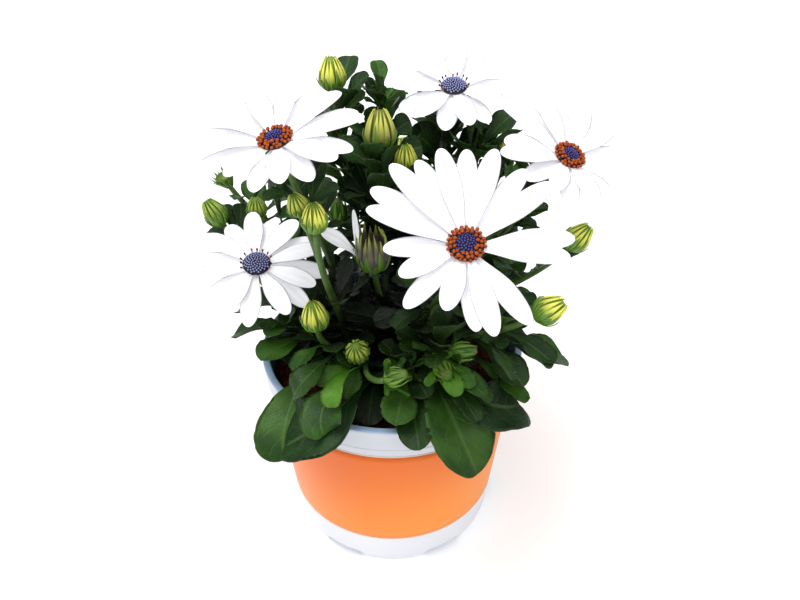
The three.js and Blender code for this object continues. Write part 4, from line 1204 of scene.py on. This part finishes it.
def make_bud(name, materials):
    """Furled petals round a dark heart, in a cup of pointed green bracts."""
    at, facing, length, radius, ripe = BUDS[name]
    pose = Pose(at, facing)
    draw = Draw(611 + 13 * int(name[-2:]))
    spent, leafy, opening = ripe < 0, ripe == 0, ripe > 0.9
    profile = SPENT_PROFILE if spent else OPENING_PROFILE if opening else BUD_PROFILE

    def body_radius(z):
        return spline(profile, np.clip(z / length, 0, 1)) * radius

    heart = Shape("along", "across", "under", "ripe", "tint")
    z = np.linspace(0, (0.7 if spent else 0.5 if opening else 0.93) * length, 14)
    rings = pose(turned(np.stack([body_radius(z) * 0.86, z], -1), 24))
    core = closed_tube(rings, pose(np.zeros(3)), pose(UP * z[-1]))
    heart.add(*core, ripe=max(ripe, 0), across=0.3 if leafy else 0.75, tint=0.5)
    rays = 0 if leafy or spent else 15 if opening else 13
    spread = 0.35 if opening else 0.1
    for k in range(rays):
        turn = 2 * math.pi * (k + draw(-0.18, 0.18)) / rays
        end = length * draw(0.8 if opening else 0.9, 1.0)
        body, values = wrapped_body(
            pose, turn, (1.5 if opening else 1.15) * math.pi / rays, (0.06 * length, end),
            lambda z: body_radius(z) * 0.94, TIP_TAPER if opening else RAY_TAPER, (14, 8),
            0.1 * radius, 0.35, flare=draw(-0.02, spread) * radius,
        )
        heart.add(*body, ripe=ripe, tint=draw(), **values)
    heart.make(f"furled_{name[-2:]}", materials.furled, "bud", [name])
    cup = Shape("along", "across", "under", "ripe", "tint")
    bracts = 16 if spent else 12 if leafy else 15
    low, high = (0.85, 1.05) if spent else (0.7, 1.02) if leafy else (0.42, 0.7)
    for k in range(bracts):
        turn = 2 * math.pi * (k + 0.5 + draw(-0.15, 0.15)) / bracts
        row = k % 2
        end = length * draw(low, high) * (1 - 0.18 * row)
        body, values = wrapped_body(
            pose, turn, 1.35 * math.pi / bracts, (0, end),
            lambda z: body_radius(z) * (1 + 0.05 * row) + 0.15, BRACT_TAPER, (12, 6),
            0.06 * radius, 0.35, flare=draw(0, 0.3 if leafy else 0.1) * radius,
        )
        cup.add(*body, ripe=ripe, tint=draw(), **values)
    cup.make(f"bracts_{name[-2:]}", materials.bract, "bud")


# ---------------------------------------------------------------- shader graphs


class Graph:
    """Adds nodes to a tree. An input is a number, a colour or another node's output."""

    def __init__(self, tree):
        self.tree = tree

    def add(self, kind, inputs=(), **settings):
        node = self.tree.nodes.new(f"ShaderNode{kind}")
        for name, value in settings.items():
            setattr(node, name, value)
        for key, value in dict(inputs).items():
            self.feed(node.inputs[key], value)
        return node

    def feed(self, socket, value):
        if isinstance(value, bpy.types.NodeSocket):
            self.tree.links.new(value, socket)
        else:
            socket.default_value = value

    def math(self, operation, *values):
        return self.add("Math", enumerate(values), operation=operation).outputs[0]

    def mix(self, share, a, b):
        return self.add("Mix", {0: share, 6: a, 7: b}, data_type="RGBA").outputs[2]

    def cover(self, base, mask, amount, paint):
        """`base` under a paint that covers `amount` of it where the mask is full."""
        return self.mix(self.math("MULTIPLY", mask, amount), base, paint)

    def value(self, name):
        return self.add("Attribute", attribute_name=name).outputs["Fac"]

    def place(self):
        return self.add("TexCoord").outputs["Object"]

    def noise(self, scale, detail=3.0, roughness=0.5):
        inputs = {"Scale": scale, "Detail": detail, "Roughness": roughness, "Vector": self.place()}
        return self.add("TexNoise", inputs).outputs["Fac"]

    def remap(self, value, low, high, to_low=0.0, to_high=1.0):
        inputs = {"Value": value, "From Min": low, "From Max": high, "To Min": to_low, "To Max": to_high}
        return self.add("MapRange", inputs, interpolation_type="SMOOTHSTEP").outputs["Result"]


def new_group(name, inputs, outputs):
    """An empty node group with named inputs, given with their first values, and named outputs."""
    tree = bpy.data.node_groups.new(name, "ShaderNodeTree")
    for label, value in inputs.items():
        socket = tree.interface.new_socket(label, in_out="INPUT", socket_type="NodeSocketFloat")
        socket.default_value = value
    for label in outputs:
        tree.interface.new_socket(label, in_out="OUTPUT", socket_type="NodeSocketFloat")
    graph = Graph(tree)
    entry = tree.nodes.new("NodeGroupInput")
    leave = tree.nodes.new("NodeGroupOutput")
    return graph, entry.outputs, leave.inputs


def mottle_group():
    """Blotches and fine speckle, as all soft plant tissue shows."""
    inputs = {"Scale": 60.0, "Fine Scale": 900.0}
    graph, given, out = new_group("tissue mottle", inputs, ["Blotch", "Speckle"])
    graph.feed(out["Blotch"], graph.remap(graph.noise(given["Scale"]), 0.3, 0.7))
    graph.feed(out["Speckle"], graph.noise(given["Fine Scale"], 2.0))
    return graph.tree


def stripes_group():
    """Lines that run the length of a blade, at even places across it."""
    inputs = {"Across": 0.0, "Count": 3.0, "Sharpness": 6.0}
    graph, given, out = new_group("length stripes", inputs, ["Line", "Relief"])
    turns = graph.math("MULTIPLY", given["Across"], graph.math("MULTIPLY", given["Count"], math.pi))
    wave = graph.math("MULTIPLY_ADD", graph.math("COSINE", turns), 0.5, 0.5)
    graph.feed(out["Line"], graph.math("POWER", wave, given["Sharpness"]))
    graph.feed(out["Relief"], wave)
    return graph.tree


def veins_group():
    """A midrib and the side veins that leave it at a slant."""
    inputs = {"Along": 0.0, "Across": 0.0, "Count": 7.0, "Slant": 1.6}
    graph, given, out = new_group("leaf veins", inputs, ["Midrib", "Side Vein", "Relief"])
    out_from_rib = graph.math("ABSOLUTE", given["Across"])
    wobble = graph.math("MULTIPLY", graph.math("SUBTRACT", graph.noise(180.0, 2.0), 0.5), 0.5)
    slanted = graph.math("MULTIPLY", out_from_rib, given["Slant"])
    turns = graph.math("SUBTRACT", graph.math("MULTIPLY", given["Along"], given["Count"]), slanted)
    turns = graph.math("ADD", turns, wobble)
    apart = graph.math("ABSOLUTE", graph.math("SUBTRACT", graph.math("FRACT", turns), 0.5))
    side = graph.remap(apart, 0.0, 0.12, 1.0, 0.0)
    side = graph.math("MULTIPLY", side, graph.remap(out_from_rib, 0.5, 1.0, 1.0, 0.0))
    midrib = graph.remap(out_from_rib, 0.02, 0.1, 1.0, 0.0)
    net = graph.add("TexVoronoi", {"Scale": 900.0, "Vector": graph.place()}, feature="DISTANCE_TO_EDGE")
    cells = graph.math("MULTIPLY", graph.remap(net.outputs["Distance"], 0.0, 0.15), 0.3)
    graph.feed(out["Midrib"], midrib)
    graph.feed(out["Side Vein"], side)
    sunk = graph.math("SUBTRACT", cells, graph.math("MAXIMUM", midrib, graph.math("MULTIPLY", side, 0.7)))
    graph.feed(out["Relief"], sunk)
    return graph.tree


def wear_group():
    """Handling marks on moulded or printed plastic: faint smears and a few scuffs."""
    inputs = {"Smear Scale": 18.0, "Scuff Scale": 120.0}
    graph, given, out = new_group("handling wear", inputs, ["Smear", "Scuff", "Grain"])
    graph.feed(out["Smear"], graph.remap(graph.noise(given["Smear Scale"], 4.0), 0.35, 0.75))
    scuff = graph.noise(given["Scuff Scale"], 5.0, 0.7)
    graph.feed(out["Scuff"], graph.remap(scuff, 0.64, 0.74))
    graph.feed(out["Grain"], graph.noise(2400.0, 2.0))
    return graph.tree


GROUPS = Sizes(mottle=mottle_group(), stripes=stripes_group(), veins=veins_group(), wear=wear_group())


def colour(red, green, blue):
    """A linear colour from a display colour of 0 to 255."""
    parts = [part / 255 for part in (red, green, blue)]
    return (*[((c + 0.055) / 1.055) ** 2.4 if c > 0.04 else c / 12.92 for c in parts], 1.0)


class Finish(Graph):
    """A material's graph, ending in one Principled shader."""

    def __init__(self, name, roughness=0.5, specular=0.5, **constants):
        self.material = bpy.data.materials.new(name)
        self.material.use_nodes = True
        super().__init__(self.material.node_tree)
        self.shader = self.tree.nodes["Principled BSDF"]
        self.shader.inputs["Roughness"].default_value = roughness
        self.shader.inputs["Specular IOR Level"].default_value = specular
        for key, value in constants.items():
            self.shader.inputs[key.replace("_", " ").title()].default_value = value

    def group(self, tree, **inputs):
        node = self.tree.nodes.new("ShaderNodeGroup")
        node.node_tree = tree
        for key, value in inputs.items():
            self.feed(node.inputs[key.replace("_", " ").title()], value)
        return node.outputs

    def paint(self, base, roughness=None, relief=None, strength=0.2, depth=0.3):
        """Feeds the shader; `depth` is the relief's height in millimetres."""
        self.feed(self.shader.inputs["Base Color"], base)
        if roughness is not None:
            self.feed(self.shader.inputs["Roughness"], roughness)
        if relief is not None:
            inputs = {"Height": relief, "Strength": strength, "Distance": depth * MM}
            bump = self.add("Bump", inputs)
            self.feed(self.shader.inputs["Normal"], bump.outputs["Normal"])
        return self.material


# ---------------------------------------------------------------- finishes


def leaf_green():
    """Leathery leaves, dark where old and bright where young, paler under, with pale margins of painted
    highlight; painted shade turns those deep in the bush near black.
    """
    finish = Finish("leaf green", roughness=0.42, specular=0.24)
    along, across, under = finish.value("along"), finish.value("across"), finish.value("under")
    youth, deep, tint = finish.value("youth"), finish.value("deep"), finish.value("tint")
    mottle = finish.group(GROUPS.mottle, scale=70.0, fine_scale=1100.0)
    veins = finish.group(GROUPS.veins, along=along, across=across, count=7.0, slant=1.6)
    old = finish.mix(mottle["Blotch"], colour(9, 30, 4), colour(33, 64, 22))
    young = finish.mix(mottle["Blotch"], colour(48, 102, 10), colour(94, 148, 30))
    green = finish.mix(finish.math("POWER", youth, 1.3), old, young)
    green = finish.cover(green, tint, 0.35, colour(34, 60, 32))
    green = finish.cover(green, veins["Midrib"], 0.35, colour(92, 122, 60))
    green = finish.cover(green, veins["Side Vein"], 0.14, colour(84, 112, 62))
    # painted highlight: a pale line along the margin, where light catches and shines through the thin edge
    edge = finish.remap(finish.math("ABSOLUTE", across), 0.93, 1.0)
    green = finish.cover(green, edge, 0.5, colour(112, 138, 78))
    green = finish.cover(green, under, 0.5, colour(58, 88, 40))
    # painted shade: leaves deep inside the bush are painted near black
    green = finish.cover(green, deep, 0.94, colour(3, 7, 2))
    dull = finish.remap(mottle["Speckle"], 0.3, 0.7, 0.3, 0.56)
    relief = finish.math("MULTIPLY_ADD", mottle["Speckle"], 0.25, veins["Relief"])
    return finish.paint(green, dull, relief, strength=0.6, depth=0.3)


def stem_green():
    finish = Finish("stem green", roughness=0.5)
    along, mottle = finish.value("along"), finish.group(GROUPS.mottle, scale=120.0, fine_scale=1400.0)
    green = finish.mix(finish.remap(along, 0.2, 0.9), colour(16, 26, 8), colour(66, 98, 32))
    green = finish.cover(green, mottle["Blotch"], 0.3, colour(110, 132, 70))
    return finish.paint(green, None, mottle["Speckle"], strength=0.3, depth=0.2)


def petal_white():
    """White with faint long furrows; grey-lilac and striped on the back and at the root."""
    # the petals glow a little: painted light that lifts their shade
    finish = Finish("petal white", roughness=0.48, specular=0.3, emission_strength=0.14)
    along, across, under = finish.value("along"), finish.value("across"), finish.value("under")
    stripes = finish.group(GROUPS.stripes, across=across, count=2.5, sharpness=3.0)
    mottle = finish.group(GROUPS.mottle, scale=150.0, fine_scale=1600.0)
    white = finish.mix(mottle["Blotch"], colour(250, 250, 252), colour(244, 245, 250))
    furrow = finish.math("SUBTRACT", 1.0, stripes["Relief"])
    white = finish.cover(white, furrow, 0.1, colour(205, 203, 220))
    root = finish.remap(along, 0.04, 0.22, 0.4, 0.0)
    root = finish.math("MULTIPLY", root, finish.remap(stripes["Relief"], 0.2, 0.8, 1.0, 0.35))
    white = finish.mix(root, white, colour(150, 138, 176))
    back = finish.mix(stripes["Line"], colour(206, 203, 214), colour(150, 142, 160))
    white = finish.cover(white, under, 0.85, back)
    return finish.paint(white, None, stripes["Relief"], strength=0.25, depth=0.25)


def floret_violet():
    """Blue-violet buds in deep shade; the lobes of a young disc are pale at their tips."""
    finish = Finish("floret violet", roughness=0.5, specular=0.35)
    tall, tint, young = finish.value("tall"), finish.value("tint"), finish.value("young")
    # painted shade: each floret darkens to near black at its foot, as the shade between the florets
    violet = finish.mix(finish.remap(tall, 0.45, 1.05), colour(20, 12, 40), colour(88, 82, 156))
    violet = finish.cover(violet, tint, 0.3, colour(70, 50, 130))
    pale = finish.math("MULTIPLY", finish.remap(tall, 0.7, 1.1), young)
    violet = finish.cover(violet, pale, 0.9, colour(164, 174, 216))
    return finish.paint(violet, None, finish.noise(2600.0), strength=0.3, depth=0.1)


def anther_orange():
    """Dark purple tubes that end in knobs of orange pollen."""
    finish = Finish("anther orange", roughness=0.75, specular=0.3)
    tall, tint = finish.value("tall"), finish.value("tint")
    pollen = finish.noise(2200.0, 3.0)
    orange = finish.mix(pollen, colour(132, 48, 6), colour(208, 108, 26))
    orange = finish.cover(orange, tint, 0.75, colour(138, 48, 16))
    orange = finish.mix(finish.value("shut"), orange, colour(52, 18, 34))
    ripe = finish.mix(finish.remap(tall, 0.5, 0.64), colour(44, 14, 36), orange)
    return finish.paint(ripe, None, pollen, strength=0.7, depth=0.25)


def furled_ray():
    """The backs of furled petals: yellow-green with dark seams, olive and purple where ripe."""
    finish = Finish("furled ray", roughness=0.5, specular=0.35)
    along, across, ripe = finish.value("along"), finish.value("across"), finish.value("ripe")
    mottle = finish.group(GROUPS.mottle, scale=160.0, fine_scale=1500.0)
    fresh = finish.mix(finish.remap(along, 0.15, 0.8), colour(110, 150, 26), colour(240, 240, 104))
    unripe = finish.mix(finish.remap(along, 0.35, 1.0), colour(50, 96, 18), colour(168, 196, 80))
    fresh = finish.mix(finish.remap(ripe, 0.1, 0.5), unripe, fresh)
    shifted_tone = finish.mix(finish.remap(along, 0.6, 0.95), colour(88, 82, 84), colour(160, 168, 66))
    riper = finish.mix(finish.remap(along, 0.3, 0.9), colour(124, 130, 52), colour(208, 212, 96))
    pale = finish.mix(finish.remap(ripe, 0.6, 0.8), fresh, riper)
    pale = finish.mix(finish.remap(ripe, 0.85, 1.0), pale, shifted_tone)
    dark = finish.mix(finish.remap(ripe, 0.6, 0.9), colour(84, 112, 26), colour(64, 56, 48))
    seam = finish.remap(finish.math("ABSOLUTE", across), 0.55, 1.0)
    base = finish.cover(pale, seam, 0.85, dark)
    base = finish.cover(base, mottle["Blotch"], 0.15, colour(196, 192, 100))
    return finish.paint(base, None, mottle["Speckle"], strength=0.3, depth=0.2)


def bract_green():
    """Pointed green bracts with paler margins and darker tips."""
    finish = Finish("bract green", roughness=0.48)
    along, across, tint = finish.value("along"), finish.value("across"), finish.value("tint")
    stripes = finish.group(GROUPS.stripes, across=across, count=1.0, sharpness=2.0)
    green = finish.mix(finish.math("MULTIPLY", tint, 0.6), colour(84, 130, 32), colour(122, 164, 56))
    green = finish.cover(green, stripes["Line"], 0.4, colour(58, 98, 26))
    edge = finish.remap(finish.math("ABSOLUTE", across), 0.7, 1.0, 0.0, 0.5)
    green = finish.mix(edge, green, colour(150, 168, 90))
    green = finish.mix(finish.remap(along, 0.86, 1.0, 0.0, 0.6), green, colour(74, 70, 34))
    return finish.paint(green, None, stripes["Relief"], strength=0.3, depth=0.25)


def pot_white():
    """Satin white polypropylene with painted shade, bluish grey inside and on the rim's top and greyer
    towards the collar, and a little splashed peat.
    """
    finish = Finish("pot white", roughness=0.36, specular=0.5)
    wear = finish.group(GROUPS.wear, smear_scale=22.0, scuff_scale=260.0)
    x, y, z = finish.add("SeparateXYZ", {0: finish.place()}).outputs
    reach = finish.math("SQRT", finish.math("MULTIPLY_ADD", x, x, finish.math("MULTIPLY", y, y)))
    middle_of_wall = finish.math("MULTIPLY_ADD", z, 0.0983, 0.0522)
    inside = finish.remap(finish.math("SUBTRACT", middle_of_wall, reach), 0.0, 0.0008)
    rim_top = finish.remap(z, (POT.height - 0.8) * MM, (POT.height - 0.2) * MM)
    inside = finish.math("MAXIMUM", inside, rim_top)
    # painted shade: the white turns greyer towards the collar, which the leaves shade
    shifted_tone = finish.remap(z, 0.02, 0.1)
    white = finish.mix(shifted_tone, colour(232, 235, 242), colour(198, 201, 209))
    white = finish.cover(white, wear["Smear"], 0.3, colour(196, 200, 212))
    # painted shade: the inner wall and the rim's top are painted bluish grey, as the plastic looks in the
    # leaves' shade
    white = finish.mix(inside, white, colour(150, 176, 204))
    specks = finish.math("MULTIPLY", wear["Scuff"], finish.remap(z, 0.06, 0.1, 0.15, 0.7))
    white = finish.mix(specks, white, colour(120, 100, 92))
    rough = finish.remap(wear["Smear"], 0.0, 1.0, 0.3, 0.44)
    return finish.paint(white, rough, wear["Grain"], strength=0.12, depth=0.08)


def band_orange():
    """Orange print on a satin sleeve, with painted light and shade: lighter towards the foot and one side,
    darker towards the top under the leaves.
    """
    finish = Finish("band orange", roughness=0.42, specular=0.3)
    wear = finish.group(GROUPS.wear, smear_scale=14.0, scuff_scale=300.0)
    x, _, z = finish.add("SeparateXYZ", {0: finish.place()}).outputs
    # painted light and shade: the orange darkens towards the top, in the leaves' shade, and lightens
    # towards the foot and one side
    slope = finish.math("MULTIPLY_ADD", x, 3.0, finish.math("MULTIPLY", z, -10.0))
    light = finish.remap(slope, -0.95, -0.1)
    orange = finish.mix(light, colour(224, 102, 16), colour(247, 144, 46))
    orange = finish.cover(orange, wear["Smear"], 0.1, colour(250, 172, 96))
    middle, half = (BAND.bottom + BAND.top) / 2 * MM, (BAND.top - BAND.bottom) / 2 * MM
    off_middle = finish.math("ABSOLUTE", finish.math("SUBTRACT", z, middle))
    edge = finish.remap(off_middle, half - 0.0009, half - 0.0004)
    orange = finish.mix(edge, orange, colour(246, 226, 214))
    orange = finish.cover(orange, wear["Scuff"], 0.25, colour(180, 80, 40))
    rough = finish.remap(wear["Smear"], 0.0, 1.0, 0.36, 0.5)
    return finish.paint(orange, rough, wear["Grain"], strength=0.1, depth=0.06)


def peat_brown(name, dark, light):
    finish = Finish(name, roughness=0.9, specular=0.2)
    clumps = finish.noise(140.0, 5.0, 0.65)
    fine = finish.noise(900.0, 4.0, 0.7)
    brown = finish.mix(finish.remap(clumps, 0.35, 0.7), dark, light)
    brown = finish.mix(finish.remap(fine, 0.6, 0.75, 0.0, 0.5), brown, colour(150, 84, 60))
    return finish.paint(brown, None, fine, strength=0.8, depth=0.6)


def floor_white():
    finish = Finish("floor white", roughness=0.75, specular=0.1, emission_strength=0.12)
    cloud = finish.noise(3.0, 2.0)
    return finish.paint(finish.mix(cloud, colour(252, 252, 252), colour(254, 254, 254)))


# ---------------------------------------------------------------- stage

CAMERA = Sizes(place=(0, -0.297, 0.342), pitch=54.6, yaw=-0.76, lens=33.75, sensor=36)


def make_camera():
    camera = bpy.data.cameras.new("camera")
    camera.lens = CAMERA.lens
    camera.sensor_width = CAMERA.sensor
    camera.clip_start = 0.01
    turn = (math.radians(CAMERA.pitch), 0, math.radians(CAMERA.yaw))
    bpy.context.scene.camera = placed("camera", camera, CAMERA.place, turn)


def make_floor(reach=6):
    mesh = bpy.data.meshes.new("floor")
    corners = [(-reach, -reach, 0), (reach, -reach, 0), (reach, reach, 0), (-reach, reach, 0)]
    mesh.from_pydata(corners, [], [(0, 1, 2, 3)])
    mesh.materials.append(floor_white())
    floor = placed("floor", mesh)


KEY = Sizes(towards=(-0.05, -0.32, 1.0), spread=110, strength=2.6)
OVERHEAD = Sizes(place=(-0.3, -0.1, 1.3), target=(0, 0, 0.12), size=0.5, watts=6)
WORLD = Sizes(tint=(0.97, 0.98, 1.0, 1.0), strength=0.3)


def make_lights():
    """Plain soft studio light: an even world, a wide key from above the front and one softbox."""
    world = bpy.data.worlds.new("studio")
    world.use_nodes = True
    background = world.node_tree.nodes["Background"].inputs
    background["Color"].default_value = WORLD.tint
    background["Strength"].default_value = WORLD.strength
    bpy.context.scene.world = world
    key = bpy.data.lights.new("wide key", "SUN")
    key.angle = math.radians(KEY.spread)
    key.energy = KEY.strength
    placed("wide key", key, turn=Vector(KEY.towards).to_track_quat("Z", "Y").to_euler())
    softbox = bpy.data.lights.new("overhead", "AREA")
    softbox.shape = "SQUARE"
    softbox.size = OVERHEAD.size
    softbox.energy = OVERHEAD.watts
    down = Vector(OVERHEAD.target) - Vector(OVERHEAD.place)
    placed("overhead", softbox, OVERHEAD.place, down.to_track_quat("-Z", "Y").to_euler())
    bpy.context.scene.view_settings.view_transform = "Standard"


# ---------------------------------------------------------------- assembly

make_camera()
make_floor()
make_lights()
petals, first_petals, shoots = grow_plant()

make_pot(pot_white())
make_band(band_orange())
make_peat(peat_brown("peat brown", colour(40, 16, 10), colour(84, 38, 26)))
make_crumbs(peat_brown("peat crumb", colour(52, 22, 15), colour(112, 52, 36)))
make_fibres(peat_brown("peat fibre", colour(96, 52, 36), colour(150, 92, 66)))

white = petal_white()
disc_finishes = Sizes(floret=floret_violet(), anther=anther_orange())
green = leaf_green()
stalk = stem_green()
bract = bract_green()
bud_finishes = Sizes(furled=furled_ray(), bract=bract)

for name, blades in petals.items():
    make_petals(name, blades, white)
    make_disc(name, disc_finishes)
    make_cup(name, bract)
petal_shape(first_petals, Draw(301)).make("first_petals", white, "petal", ["bud_09_rays"])
for name in BUDS:
    make_bud(name, bud_finishes)
for k, (name, shoot) in enumerate(shoots.items()):
    make_stems(name, shoot, stalk)
    make_leaves(name, shoot, green, Draw(7001 + 41 * k))
